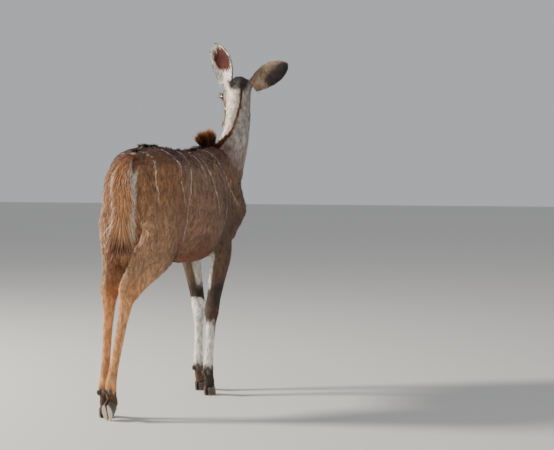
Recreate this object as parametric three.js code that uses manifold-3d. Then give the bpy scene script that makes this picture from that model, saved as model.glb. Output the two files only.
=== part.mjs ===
// A greater kudu cow, life size, as a still museum model. She rests on three hooves with the right hind
// hoof on its toe, and looks away to her left. Millimetres, +Z up; she faces -Y, so her left side is +X.
import * as THREE from "three";
import { mergeVertices } from "three/addons/utils/BufferGeometryUtils.js";
import Module from "manifold-3d";

const wasm = await Module();
wasm.setup();

// Driving dimensions, in millimetres. Places are given as (left, forward, up) from a point on the floor
// under the buttocks.
const at = (left, forward, up) => new THREE.Vector3(left, -forward, up);
const GAP = 0.3; // between two pieces that meet
const SEED = 7; // of the hair

// The trunk from rump to breast: back line, underside, half width and the height where it is widest.
const TRUNK = [
  { forward: 18, top: 1085, under: 925, half: 50, belt: 1010 },
  { forward: 60, top: 1138, under: 830, half: 98, belt: 985 },
  { forward: 115, top: 1168, under: 775, half: 128, belt: 970 },
  { forward: 180, top: 1186, under: 738, half: 148, belt: 960 },
  { forward: 260, top: 1195, under: 712, half: 160, belt: 950 },
  { forward: 360, top: 1189, under: 690, half: 170, belt: 930 },
  { forward: 460, top: 1180, under: 664, half: 180, belt: 905 },
  { forward: 560, top: 1175, under: 648, half: 186, belt: 890 },
  { forward: 660, top: 1178, under: 648, half: 178, belt: 890 },
  { forward: 760, top: 1192, under: 662, half: 156, belt: 900 },
  { forward: 850, top: 1206, under: 680, half: 132, belt: 910 },
  { forward: 925, top: 1198, under: 706, half: 116, belt: 915 },
  { forward: 990, top: 1160, under: 745, half: 100, belt: 930 },
  { forward: 1036, top: 1096, under: 800, half: 72, belt: 940 },
];

// The neck's axis from between the shoulders to the poll, with its half width and half depth.
const NECK = [
  { at: at(-6, 940, 1005), wide: 98, deep: 148 },
  { at: at(-22, 1024, 1088), wide: 85, deep: 124 },
  { at: at(-33, 1088, 1175), wide: 72, deep: 102 },
  { at: at(-38, 1140, 1262), wide: 62, deep: 87 },
  { at: at(-32, 1176, 1348), wide: 57, deep: 78 },
  { at: at(-18, 1208, 1422), wide: 56, deep: 73 },
  { at: at(-2, 1244, 1470), wide: 54, deep: 60 },
];

// The head: where its poll is, how far it looks down and how far it is turned to her left.
const POLL = at(-3, 1238, 1556);
const LOOK_DOWN = THREE.MathUtils.degToRad(32);
const LOOK_LEFT = THREE.MathUtils.degToRad(36);
const EYE_RADIUS = 18;
const EYE = { side: 56, along: 110, up: -46 };
const LID = 3.4; // thickness of an eyelid
const EAR = { long: 212, wide: 126, cup: 30, thick: 3 };

// The joints of each leg.
const LEGS = {
  foreleg_left: {
    elbow: at(116, 900, 728),
    knee: at(68, 918, 412),
    fetlock: at(62, 893, 132),
    hoof: { at: at(60, 925, 0), tip: 0 },
  },
  foreleg_right: {
    elbow: at(-112, 806, 728),
    knee: at(-52, 806, 412),
    fetlock: at(-54, 758, 132),
    hoof: { at: at(-51, 790, 0), tip: 0 },
  },
  hindleg_left: {
    stifle: at(122, 292, 748),
    hock: at(86, 30, 512),
    heel: at(88, -16, 566),
    fetlock: at(98, 2, 132),
    hoof: { at: at(104, 34, 0), tip: 0 },
  },
  hindleg_right: {
    stifle: at(-124, 268, 738),
    hock: at(-12, 4, 520),
    heel: at(-8, -40, 577),
    fetlock: at(34, -58, 148),
    hoof: { at: at(42, -100, 0), tip: THREE.MathUtils.degToRad(70) },
  },
};
const CLAW = { long: 80, wide: 25, tall: 60, cleft: 1.6 };
const SOLE_CUT = 2.5; // how much the raised hoof's toe is worn flat

const COLOURS = {
  coat: 0xa07a5c,
  head: 0x8d7463,
  leg: 0xb98a5c,
  ear: 0x9a8270,
  horn: 0x2b2724,
  eye: 0x1c120c,
  hair: 0x3a2a20,
  tail: 0x6e5038,
};

// Fields. Each tells how far a point lies outside a shape, roughly, and is negative inside it.
function ball(centre, left, forward, up) {
  const square = new THREE.Vector3(left * left, forward * forward, up * up);
  return (p) => {
    const d = p.clone().sub(centre);
    const reach = Math.hypot(d.x / left, d.y / forward, d.z / up);
    const slope = Math.hypot(d.x / square.x, d.y / square.y, d.z / square.z);
    return slope > 0 ? (reach * (reach - 1)) / slope : -Math.min(left, forward, up);
  };
}

// A limb of oval section through stations of { at, wide, deep }: wide is across, deep is fore and aft.
function limb(stations) {
  const bones = stations.slice(1).map((end, i) => {
    const start = stations[i];
    const along = end.at.clone().sub(start.at);
    const length = along.length();
    along.divideScalar(length);
    const across = new THREE.Vector3(1, 0, 0).addScaledVector(along, -along.x).normalize();
    const fore = along.clone().cross(across);
    return { start, end, along, length, across, fore };
  });
  const v = new THREE.Vector3();
  return (p) => {
    let nearest = Infinity;
    for (const { start, end, along, length, across, fore } of bones) {
      v.copy(p).sub(start.at);
      const t = THREE.MathUtils.clamp(v.dot(along) / length, 0, 1);
      v.addScaledVector(along, -t * length);
      const wide = THREE.MathUtils.lerp(start.wide, end.wide, t);
      const deep = THREE.MathUtils.lerp(start.deep, end.deep, t);
      const past = v.dot(along) / Math.min(wide, deep);
      const reach = Math.hypot(v.dot(across) / wide, v.dot(fore) / deep, past);
      const out = reach > 1e-6 ? v.length() * (1 - 1 / reach) : -Math.min(wide, deep);
      nearest = Math.min(nearest, out);
    }
    return nearest;
  };
}

// The trunk, whose section is fuller than an ellipse.
function trunk(sections) {
  const sizes = new THREE.CubicInterpolant(
    sections.map((s) => s.forward),
    sections.flatMap((s) => [s.top, s.under, s.half, s.belt]),
    4,
  );
  const FULL = 2.25;
  const first = sections[0].forward;
  const last = sections[sections.length - 1].forward;
  return (p) => {
    const forward = THREE.MathUtils.clamp(-p.y, first, last);
    const [top, under, half, belt] = sizes.evaluate(forward);
    const rise = p.z - belt;
    const tall = rise > 0 ? top - belt : belt - under;
    const reach = (Math.abs(p.x / half) ** FULL + Math.abs(rise / tall) ** FULL) ** (1 / FULL);
    const out = reach > 1e-6 ? Math.hypot(p.x, rise) * (1 - 1 / reach) : -half;
    return out + Math.abs(-p.y - forward);
  };
}

// Joins fields so that one flows into the next over the distance soft.
function melt(soft, ...fields) {
  return (p) => {
    let sum = Infinity;
    for (const field of fields) {
      const out = field(p);
      const near = Math.max(soft - Math.abs(sum - out), 0) / soft;
      sum = Math.min(sum, out) - (near * near * soft) / 4;
    }
    return sum;
  };
}

// Solids. Every closed mesh becomes one through here.
function solid(geometry, place = new THREE.Matrix4()) {
  const bare = new THREE.BufferGeometry().setAttribute("position", geometry.getAttribute("position").clone());
  bare.setIndex(geometry.index);
  const merged = mergeVertices(bare.applyMatrix4(place), 1e-3);
  return new wasm.Manifold(
    new wasm.Mesh({
      numProp: 3,
      vertProperties: merged.attributes.position.array,
      triVerts: new Uint32Array(merged.index.array),
    }),
  );
}

// A closed skin over rings of points, with a point past each end.
function loft(rings, start, end) {
  const sides = rings[0].length;
  const points = [...rings.flat(), start, end];
  const [first, last] = [points.length - 2, points.length - 1];
  const faces = [];
  for (let side = 0; side < sides; side++) {
    const next = (side + 1) % sides;
    faces.push(first, next, side);
    for (let ring = 0; ring + 1 < rings.length; ring++) {
      const [a, b] = [ring * sides + side, ring * sides + next];
      faces.push(a, b, b + sides, a, b + sides, a + sides);
    }
    const top = (rings.length - 1) * sides;
    faces.push(last, top + side, top + next);
  }
  const geometry = new THREE.BufferGeometry().setFromPoints(points);
  return solid(geometry.setIndex(faces));
}

// Rays from a path out to a field's surface make the rings of a skin. The path stays inside the field.
const STEP = 5;
const BISECTIONS = 9;
function surface(field, from, way, reach, grow) {
  const p = new THREE.Vector3();
  const outside = (r) => field(p.copy(from).addScaledVector(way, r)) > grow;
  let far = STEP;
  while (far < reach && !outside(far)) far += STEP;
  let near = far - STEP;
  for (let i = 0; i < BISECTIONS; i++) {
    const middle = (near + far) / 2;
    if (outside(middle)) far = middle;
    else near = middle;
  }
  return from.clone().addScaledVector(way, near);
}

function wrap(field, path, rings, sides, { grow = 0, reach = 400, ease = 0 } = {}) {
  const curve = new THREE.CatmullRomCurve3(path, false, "centripetal");
  const skin = [];
  for (let ring = 0; ring <= rings; ring++) {
    const even = ring / rings;
    const t = even - (ease * Math.sin(2 * Math.PI * even)) / (2 * Math.PI);
    const centre = curve.getPointAt(t);
    const along = curve.getTangentAt(t);
    const across = new THREE.Vector3(1, 0, 0).addScaledVector(along, -along.x).normalize();
    const other = along.clone().cross(across);
    skin.push(
      Array.from({ length: sides }, (_, side) => {
        const angle = (2 * Math.PI * (side + 0.5)) / sides;
        const way = across.clone().multiplyScalar(Math.cos(angle)).addScaledVector(other, Math.sin(angle));
        return surface(field, centre, way, reach, grow);
      }),
    );
  }
  const ends = [0, 1].map((t) => {
    const away = curve.getTangentAt(t).multiplyScalar(t ? 1 : -1);
    return surface(field, curve.getPointAt(t), away, reach, grow);
  });
  return loft(skin, ...ends);
}

// Everything on the far side of a plane, as one large block.
const FAR = 4000;
function beyond(point, normal) {
  const turn = new THREE.Quaternion().setFromUnitVectors(new THREE.Vector3(0, 0, 1), normal.clone().normalize());
  const centre = point.clone().addScaledVector(normal.clone().normalize(), FAR / 2);
  const place = new THREE.Matrix4().compose(centre, turn, new THREE.Vector3(1, 1, 1));
  return solid(new THREE.BoxGeometry(FAR, FAR, FAR), place);
}

// The two sides of a thin cut, first the side that the normal leaves, then the side that it points to.
function part(whole, point, normal) {
  const half = normal.clone().normalize().multiplyScalar(GAP / 2);
  return [
    whole.subtract(beyond(point.clone().sub(half), normal)),
    whole.intersect(beyond(point.clone().add(half), normal)),
  ];
}

const largest = (made) => made.decompose().reduce((a, b) => (b.volume() > a.volume() ? b : a));
const joined = (pieces) => wasm.Manifold.union(pieces);

const kudu = new THREE.Group();
function add(name, made, colour, roughness = 0.85) {
  const mesh = largest(made).getMesh();
  const geometry = new THREE.BufferGeometry()
    .setAttribute("position", new THREE.BufferAttribute(mesh.vertProperties, 3))
    .setIndex(new THREE.BufferAttribute(mesh.triVerts, 1));
  geometry.computeVertexNormals();
  const material = new THREE.MeshStandardMaterial({ color: colour, roughness, metalness: 0 });
  const node = new THREE.Mesh(geometry, material);
  node.name = name;
  kudu.add(node);
}

// A small generator with a seed, so that the hair grows the same each time.
let seed = SEED;
function chance(low, high) {
  seed = (Math.imul(seed, 1664525) + 1013904223) >>> 0;
  return low + ((high - low) * seed) / 2 ** 32;
}

// The masses of the body: rump, shoulders, breast and udder over the trunk. The thighs go with the legs.
function rump(side) {
  return [
    ball(at(side * 82, 215, 1078), 74, 125, 86),
    ball(at(side * 114, 296, 1100), 26, 56, 34),
    ball(at(side * 54, 46, 1040), 52, 58, 62),
    ball(at(side * 66, 62, 940), 58, 62, 100),
    ball(at(side * 84, 160, 950), 74, 118, 110),
  ];
}

function shoulder(side, elbow) {
  return [
    limb([
      { at: at(side * 52, 860, 1150), wide: 28, deep: 62 },
      { at: at(side * 98, 930, 1010), wide: 34, deep: 66 },
      { at: at(side * 108, 1000, 900), wide: 38, deep: 52 },
    ]),
    ball(elbow.clone().add(at(side * -12, 10, 105)), 44, 98, 86),
    limb([
      { at: at(side * 110, 990, 885), wide: 40, deep: 50 },
      { at: elbow.clone().add(at(0, 12, 22)), wide: 40, deep: 54 },
    ]),
  ];
}

const body = melt(
  34,
  trunk(TRUNK),
  limb(NECK),
  ...rump(1),
  ...rump(-1),
  ...shoulder(1, LEGS.foreleg_left.elbow),
  ...shoulder(-1, LEGS.foreleg_right.elbow),
  ball(at(0, 978, 812), 68, 84, 86),
  ball(at(0, 990, 950), 80, 84, 120),
  ball(at(0, 245, 742), 52, 70, 42),
  ball(at(0, 84, 880), 60, 56, 110),
);

// The head is shaped lying level, facing -Y, with its poll at the origin, then set on the neck.
const headPlace = new THREE.Matrix4()
  .makeTranslation(POLL)
  .multiply(new THREE.Matrix4().makeRotationZ(LOOK_LEFT))
  .multiply(new THREE.Matrix4().makeRotationX(LOOK_DOWN));
const headBack = headPlace.clone().invert();
const onHead = (left, along, up) => at(left, along, up).applyMatrix4(headPlace);

function skull() {
  const sides = [1, -1].flatMap((side) => [
    ball(at(side * 36, 78, -94), 22, 52, 38),
    ball(at(side * 48, 108, -25), 22, 34, 18),
    limb([
      { at: at(side * 56, 92, -64), wide: 13, deep: 14 },
      { at: at(side * 30, 215, -78), wide: 7, deep: 8 },
    ]),
    ball(at(side * 18, 326, -62), 15, 20, 13),
    ball(at(side * 15, 312, -86), 18, 28, 14),
    ball(at(side * 56, 6, -36), 24, 26, 28),
  ]);
  return melt(
    14,
    limb([
      { at: at(0, -10, -60), wide: 50, deep: 56 },
      { at: at(0, 45, -52), wide: 62, deep: 58 },
      { at: at(0, 105, -56), wide: 60, deep: 55 },
      { at: at(0, 165, -66), wide: 46, deep: 44 },
      { at: at(0, 225, -74), wide: 35, deep: 37 },
      { at: at(0, 285, -78), wide: 31, deep: 32 },
      { at: at(0, 322, -78), wide: 30, deep: 28 },
    ]),
    limb([
      { at: at(0, 25, -112), wide: 40, deep: 34 },
      { at: at(0, 85, -118), wide: 38, deep: 34 },
      { at: at(0, 150, -108), wide: 30, deep: 26 },
      { at: at(0, 225, -99), wide: 24, deep: 18 },
      { at: at(0, 300, -97), wide: 21, deep: 14 },
      { at: at(0, 322, -97), wide: 18, deep: 12 },
    ]),
    ...sides,
  );
}
const skullField = skull();
const headField = (p) => skullField(p.clone().applyMatrix4(headBack));
const flesh = melt(26, body, headField);

// Torso, neck and head are wrapped round their own axes and parted by two thin cuts.
const torsoPath = [
  at(0, 4, 1030), at(0, 110, 985), at(0, 300, 955), at(0, 560, 925), at(0, 800, 930), at(0, 1058, 905),
];
const TORSO = { rings: 32, sides: 26, ease: 0.7 };
const torsoWhole = (grow) => wrap(body, torsoPath, TORSO.rings, TORSO.sides, { grow, ease: TORSO.ease });
const neckPath = [...NECK.map((station) => station.at), onHead(0, 8, -62)];
const neckWhole = (grow) => wrap(flesh, neckPath, 14, 18, { grow, reach: 190 });
const headPath = [
  onHead(0, -46, -66), onHead(0, 60, -72), onHead(0, 160, -76), onHead(0, 260, -80), onHead(0, 338, -78),
];
const headWhole = (grow) => wrap(flesh, headPath, 24, 20, { grow, reach: 130 });

const collar = { point: at(0, 1030, 1090), normal: at(0, 0.835, 0.55) };
const nape = { point: onHead(0, -2, -78), normal: onHead(0, 0.6, 0.8).sub(onHead(0, 0, 0)) };

const torsoGrown = torsoWhole(GAP);

const neckFromCollar = part(neckWhole(0), collar.point, collar.normal)[1];
const neck = part(neckFromCollar, nape.point, nape.normal)[0];
add("neck", neck, COLOURS.coat);
const neckGrown = neckWhole(GAP);

// The head, with its eyes in their sockets under lids, its nostrils and the line of its mouth.
const headRough = part(headWhole(0), nape.point, nape.normal)[1];
const headGrown = headWhole(GAP);
function sphere(place, radii, across = 12, down = 8) {
  const geometry = new THREE.SphereGeometry(1, across, down);
  return solid(geometry, place.clone().scale(radii));
}
function onHeadPlace(left, along, up, turn = new THREE.Euler()) {
  return headPlace
    .clone()
    .multiply(new THREE.Matrix4().makeTranslation(at(left, along, up)))
    .multiply(new THREE.Matrix4().makeRotationFromEuler(turn));
}
const round = (r) => new THREE.Vector3(r, r, r);

let head = headRough;
for (const side of [1, -1]) {
  const place = onHeadPlace(side * EYE.side, EYE.along, EYE.up);
  head = head.add(sphere(place, round(EYE_RADIUS + LID)));
}
for (const side of [1, -1]) {
  const place = onHeadPlace(side * EYE.side, EYE.along, EYE.up);
  const opening = onHeadPlace(side * (EYE.side + 16), EYE.along + 2, EYE.up, new THREE.Euler(0.3, 0, 0));
  head = head.subtract(sphere(place, round(EYE_RADIUS + GAP)));
  head = head.subtract(sphere(opening, new THREE.Vector3(14, 17, 11)));
  const nostril = onHeadPlace(side * 21, 344, -62, new THREE.Euler(0.5, 0, side * -0.5));
  head = head.subtract(sphere(nostril, new THREE.Vector3(4.5, 11, 7)));
}
const MOUTH = { from: 232, to: 372, up: -93, open: 1.8, deep: 6 };
const lips = new THREE.BoxGeometry(140, MOUTH.to - MOUTH.from, MOUTH.open);
const lipsPlace = onHeadPlace(0, (MOUTH.from + MOUTH.to) / 2, MOUTH.up);
const gums = wrap(flesh, headPath, 12, 10, { grow: -MOUTH.deep, reach: 130 });
head = head.subtract(solid(lips, lipsPlace).subtract(gums));
add("head", head, COLOURS.head);

for (const [name, side] of [["eye_left", 1], ["eye_right", -1]])
  add(name, sphere(onHeadPlace(side * EYE.side, EYE.along, EYE.up), round(EYE_RADIUS)), COLOURS.eye, 0.1);

// The ears: leaf-shaped cups, each seen by where its tip points and where its hollow looks.
function ear(root, tipWay, hollowWay) {
  const along = tipWay.clone().normalize();
  const hollow = hollowWay.clone().addScaledVector(along, -hollowWay.dot(along)).normalize();
  const across = hollow.clone().cross(along);
  const RINGS = 11;
  const HALF = 6;
  const rings = [];
  for (let ring = 0; ring < RINGS; ring++) {
    const t = ring / RINGS;
    const leaf = Math.sin(Math.PI * (0.07 + 0.93 * t ** 1.15)) ** 0.62;
    const half = (EAR.wide / 2) * leaf;
    const cup = EAR.cup * (1 - 0.75 * t) + 6;
    const bend = 10 * Math.sin(Math.PI * t);
    const centre = root.clone().addScaledVector(along, EAR.long * t).addScaledVector(hollow, -bend);
    const arc = (s, lift) =>
      centre
        .clone()
        .addScaledVector(across, half * Math.sin((s * Math.PI) / 2))
        .addScaledVector(hollow, -cup * Math.cos((s * Math.PI) / 2) ** 1.2 + lift);
    const span = Array.from({ length: HALF + 1 }, (_, i) => (2 * i) / HALF - 1);
    const outer = span.map((s) => arc(s, 0));
    const plug = cup * Math.max(0, 1 - t / 0.16);
    const inner = span.map((s) => arc(-s, EAR.thick * (1.4 - Math.abs(s) * 0.7) + plug * (1 - s * s)));
    rings.push([...outer, ...inner]);
  }
  const tip = root.clone().addScaledVector(along, EAR.long);
  const base = rings[0].reduce((sum, p) => sum.add(p), new THREE.Vector3()).divideScalar(rings[0].length);
  return loft(rings, base, tip);
}
const EARS = [
  { name: "ear_left", root: onHead(66, 0, -36), tip: at(0.26, -0.08, 0.96), hollow: at(0.3, -1, 0) },
  { name: "ear_right", root: onHead(-72, 4, -50), tip: at(-0.74, 0.3, 0.52), hollow: at(0.1, 1, -0.3) },
];
for (const { name, root, tip, hollow } of EARS) add(name, ear(root, tip, hollow).subtract(headGrown), COLOURS.ear);

// Legs below the stifle and the elbow. Each is wrapped in one, then parted above its joints.
const between = (a, b, t) => a.clone().lerp(b, t);

function hoofPlace({ at: spot, tip }) {
  const toe = new THREE.Matrix4().makeTranslation(at(0, CLAW.long / 2, 0));
  const fromToe = toe.clone().invert();
  const turn = new THREE.Matrix4().makeRotationX(tip);
  const lift = tip ? -SOLE_CUT : 0;
  return new THREE.Matrix4()
    .makeTranslation(spot.clone().add(at(0, 0, lift)))
    .multiply(toe)
    .multiply(turn)
    .multiply(fromToe);
}

function foot(fetlock, coronet, core) {
  return [
    { at: fetlock, wide: 26, deep: 30 },
    { at: between(fetlock, coronet, 0.55), wide: 22, deep: 24 },
    { at: coronet, wide: 25, deep: 29 },
    { at: core, wide: 24, deep: 28 },
  ];
}

function forelegField({ elbow, knee, fetlock }, coronet, core) {
  const upper = limb([
    { at: between(elbow, knee, -0.2).setX(elbow.x * 0.87), wide: 38, deep: 60 },
    { at: between(elbow, knee, 0.02), wide: 45, deep: 62 },
    { at: between(elbow, knee, 0.25), wide: 47, deep: 58 },
    { at: between(elbow, knee, 0.6), wide: 37, deep: 44 },
    { at: between(elbow, knee, 0.88), wide: 33, deep: 35 },
    { at: knee, wide: 35, deep: 37 },
    { at: between(knee, fetlock, 0.15), wide: 29, deep: 31 },
    { at: between(knee, fetlock, 0.32), wide: 23, deep: 26 },
    { at: between(knee, fetlock, 0.7), wide: 21, deep: 24 },
    { at: between(knee, fetlock, 0.88), wide: 23, deep: 27 },
    ...foot(fetlock, coronet, core),
  ]);
  const pisiform = limb([
    { at: knee.clone().add(at(0, -22, 16)), wide: 13, deep: 12 },
    { at: between(knee, fetlock, 0.22).add(at(0, -14, 0)), wide: 12, deep: 10 },
  ]);
  return melt(10, upper, pisiform);
}

// The thigh and calf lie between a front line, from the stifle to the hock, and a hind line, from under
// the buttock to the point of the hock, with a hollow of thin skin above the hock.
function calf({ stifle, hock, heel }, t) {
  const front = between(stifle.clone().add(at(0, 26, -12)), hock.clone().add(at(0, 24, 0)), t);
  const rear = between(at(stifle.x * 0.72, 22, 800), heel.clone().add(at(0, -10, 0)), t);
  return { front, rear, middle: between(front, rear, 0.5), deep: front.distanceTo(rear) / 2 };
}

function thighLine(joints) {
  const side = Math.sign(joints.stifle.x);
  return [
    { at: at(side * 86, 150, 1000), wide: 40, deep: 84 },
    { at: at(side * 98, 146, 890), wide: 68, deep: 134 },
    { at: at(joints.stifle.x * 0.86, 154, 800), wide: 61, deep: 138 },
    { at: calf(joints, 0.28).middle, wide: 46, deep: calf(joints, 0.28).deep - 2 },
    { at: calf(joints, 0.6).middle, wide: 23, deep: calf(joints, 0.6).deep - 6 },
    { at: calf(joints, 0.9).middle, wide: 18, deep: calf(joints, 0.9).deep - 6 },
  ];
}

function hindlegField(joints, coronet, core) {
  const { stifle, hock, heel, fetlock } = joints;
  const shank = limb([
    { at: stifle.clone().add(at(0, -6, 0)), wide: 44, deep: 46 },
    { at: between(stifle, hock, 0.3), wide: 40, deep: 46 },
    { at: between(stifle, hock, 0.66), wide: 29, deep: 33 },
    { at: hock, wide: 29, deep: 33 },
    { at: between(hock, fetlock, 0.12), wide: 27, deep: 31 },
    { at: between(hock, fetlock, 0.3), wide: 21, deep: 27 },
    { at: between(hock, fetlock, 0.7), wide: 19, deep: 24 },
    { at: between(hock, fetlock, 0.89), wide: 21, deep: 26 },
    ...foot(fetlock, coronet, core),
  ]);
  const tendon = limb([
    { at: calf(joints, 0.3).rear.clone().add(at(0, 34, 0)), wide: 36, deep: 36 },
    { at: calf(joints, 0.66).rear.clone().add(at(0, 18, 0)), wide: 18, deep: 19 },
    { at: heel.clone().add(at(0, 2, -4)), wide: 16, deep: 17 },
    { at: between(heel, hock, 0.75).add(at(0, -8, -10)), wide: 20, deep: 22 },
  ]);
  return melt(18, limb(thighLine(joints)), shank, tendon);
}

// One claw of a cloven hoof, standing on its sole, toe forward. Its straight side faces the cleft.
function claw(side) {
  const SIDES = 12;
  const levels = [
    { up: 0, size: 1, back: 0 },
    { up: 0.4, size: 0.97, back: 5 },
    { up: 1, size: 0.86, back: 15 },
    { up: 1.15, size: 0.8, back: 17 },
  ];
  const rings = levels.map(({ up, size, back }) =>
    Array.from({ length: SIDES }, (_, i) => {
      const angle = (-side * 2 * Math.PI * i) / SIDES;
      const [out, fore] = [Math.cos(angle), Math.sin(angle)];
      const narrow = 1 - 0.45 * Math.max(fore, 0) ** 2;
      const wide = out > 0 ? CLAW.wide * 0.8 * out * narrow : CLAW.wide * 0.2 * out;
      const left = side * (CLAW.cleft + CLAW.wide * 0.2 + wide * size);
      return at(left, (CLAW.long / 2) * fore * size - back, CLAW.tall * up);
    }),
  );
  const middle = (ring) => ring.reduce((sum, p) => sum.add(p), new THREE.Vector3()).divideScalar(SIDES);
  return loft(rings, middle(rings[0]), middle(rings[rings.length - 1]));
}

function dewclaw(fetlock, side, low) {
  const place = new THREE.Matrix4()
    .makeTranslation(fetlock.clone().add(at(side * 13, -27, -18)))
    .multiply(new THREE.Matrix4().makeRotationX(-0.5 - low));
  return sphere(place, new THREE.Vector3(8.5, 9, 15), 7, 5);
}

// The tops of the thighs are one with the torso. Below this height each thigh belongs to its leg.
const THIGH_CUT = 778;
const haunches = [];
const LEG_RINGS = { hind: 32, fore: 22 };
const LEG_SIDES = { hind: 16, fore: 12 };

for (const [name, joints] of Object.entries(LEGS)) {
  const kind = name.startsWith("hind") ? "hind" : "fore";
  const [top, middle] = kind === "hind" ? [joints.stifle, joints.hock] : [joints.elbow, joints.knee];
  const { fetlock } = joints;
  const place = hoofPlace(joints.hoof);
  const inHoof = (left, forward, up) => at(left, forward, up).applyMatrix4(place);
  const coronet = inHoof(0, -10, 56);
  const core = inHoof(0, -2, 34);
  const field = (kind === "hind" ? hindlegField : forelegField)(joints, coronet, core);
  const thick =
    kind === "hind"
      ? [...thighLine(joints).map((station) => station.at), middle]
      : [-0.14, 0.45, 0.9].map((t) => between(top, middle, t));
  const slim = [0.12, 0.3, 0.6, 1].map((t) => between(middle, fetlock, t));
  const path = [...thick, ...slim, coronet, core];
  const whole = (grow) => wrap(field, path, LEG_RINGS[kind], LEG_SIDES[kind], { grow, reach: 170 });

  let leg = whole(0);
  if (kind === "hind") {
    const cut = part(leg, at(0, 0, THIGH_CUT), at(0, 0, -1));
    haunches.push(cut[0]);
    leg = cut[1];
  }
  const band = { point: inHoof(0, -8, 50), normal: inHoof(0, -0.42, 0.9).sub(inHoof(0, 0, 0)) };
  const [above, pastern] = part(
    part(leg.subtract(torsoGrown), band.point, band.normal)[1],
    between(middle, fetlock, 0.9),
    fetlock.clone().sub(middle),
  );
  const knuckle = kind === "hind" ? between(middle, joints.heel, 1.15) : between(top, middle, 0.84);
  const [upper, cannon] = part(above, knuckle, middle.clone().sub(top).setX(0));
  add(name + (kind === "hind" ? "_thigh" : "_forearm"), upper, COLOURS.leg);
  add(name + "_cannon", cannon, COLOURS.leg);
  add(name + "_pastern", pastern, COLOURS.leg);

  const legGrown = whole(GAP);
  const floor = beyond(at(0, 0, 0), at(0, 0, -1));
  for (const [which, side] of [["left", 1], ["right", -1]]) {
    const wall = claw(side).transform(place.elements);
    const horn = part(wall, band.point, band.normal)[0].subtract(floor);
    add(name + "_claw_" + which, horn, COLOURS.horn, 0.5);
    const spur = dewclaw(fetlock, side, joints.hoof.tip ? 0.3 : 0);
    add(name + "_dewclaw_" + which, spur.subtract(legGrown), COLOURS.horn, 0.5);
  }
}

const trunkFromCollar = part(torsoWhole(0), collar.point, collar.normal)[0];
add("torso", joined([trunkFromCollar, ...haunches]), COLOURS.coat);

// Hair that stands from the body: each form is a low core along a line, fused with its locks.
function tube(stations, rings, sides) {
  const curve = new THREE.CatmullRomCurve3(stations.map((s) => s.at));
  const last = stations.length - 1;
  const sizes = new THREE.CubicInterpolant(
    stations.map((_, i) => i),
    stations.flatMap((s) => [s.wide, s.deep]),
    2,
  );
  const skin = [];
  for (let ring = 0; ring <= rings; ring++) {
    const t = ring / rings;
    const [wide, deep] = sizes.evaluate(t * last);
    const along = curve.getTangent(t);
    const across = new THREE.Vector3(1, 0, 0).addScaledVector(along, -along.x).normalize();
    const other = along.clone().cross(across);
    skin.push(
      Array.from({ length: sides }, (_, side) => {
        const angle = (2 * Math.PI * side) / sides;
        return curve
          .getPoint(t)
          .addScaledVector(across, wide * Math.cos(angle))
          .addScaledVector(other, deep * Math.sin(angle));
      }),
    );
  }
  const ends = [0, 1].map((t) => curve.getPoint(t).addScaledVector(curve.getTangent(t), t ? 4 : -4));
  return loft(skin, ...ends);
}

// One lock of hair: a flat blade that tapers to its tip and bends from its way at the root.
function lock(root, way, bend, flat, { long, wide, thick }) {
  const rings = [0, 0.36, 0.7].map((t) => {
    const centre = root.clone().addScaledVector(way, long * t).addScaledVector(bend, long * t * t);
    const along = way.clone().addScaledVector(bend, 2 * t).normalize();
    const across = along.clone().cross(flat).normalize();
    const other = along.clone().cross(across);
    const full = 0.62 + 1.9 * t - 2.4 * t * t;
    const half = Math.max(thick * (1 - 0.5 * t), 1) / 2;
    return [
      centre.clone().addScaledVector(across, (wide / 2) * full),
      centre.clone().addScaledVector(other, half),
      centre.clone().addScaledVector(across, (-wide / 2) * full),
      centre.clone().addScaledVector(other, -half),
    ];
  });
  const tip = root.clone().addScaledVector(way, long).addScaledVector(bend, long);
  return loft(rings, root.clone().addScaledVector(way, -2), tip);
}

// Locks standing in a row on a line of the skin. Each ring of sizes says how they lean and how long they are.
function row(line, count, sizes) {
  const curve = new THREE.CatmullRomCurve3(line);
  return Array.from({ length: count }, (_, i) => {
    const t = (i + 0.5 + chance(-0.3, 0.3)) / count;
    const { back, long, wide, thick, spread, deep } = sizes(t);
    const sideways = i % 2 ? spread : -spread;
    const way = at(sideways * chance(0.4, 1.2), -Math.sin(back), Math.cos(back)).normalize();
    const bend = at(chance(-0.06, 0.06), -chance(0.05, 0.2), chance(-0.12, 0));
    const flat = at(1, chance(-0.5, 0.5), 0);
    const root = curve.getPoint(t).addScaledVector(way, -deep);
    return lock(root, way, bend, flat, { long: long * chance(0.85, 1.12) + deep, wide, thick });
  });
}

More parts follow.
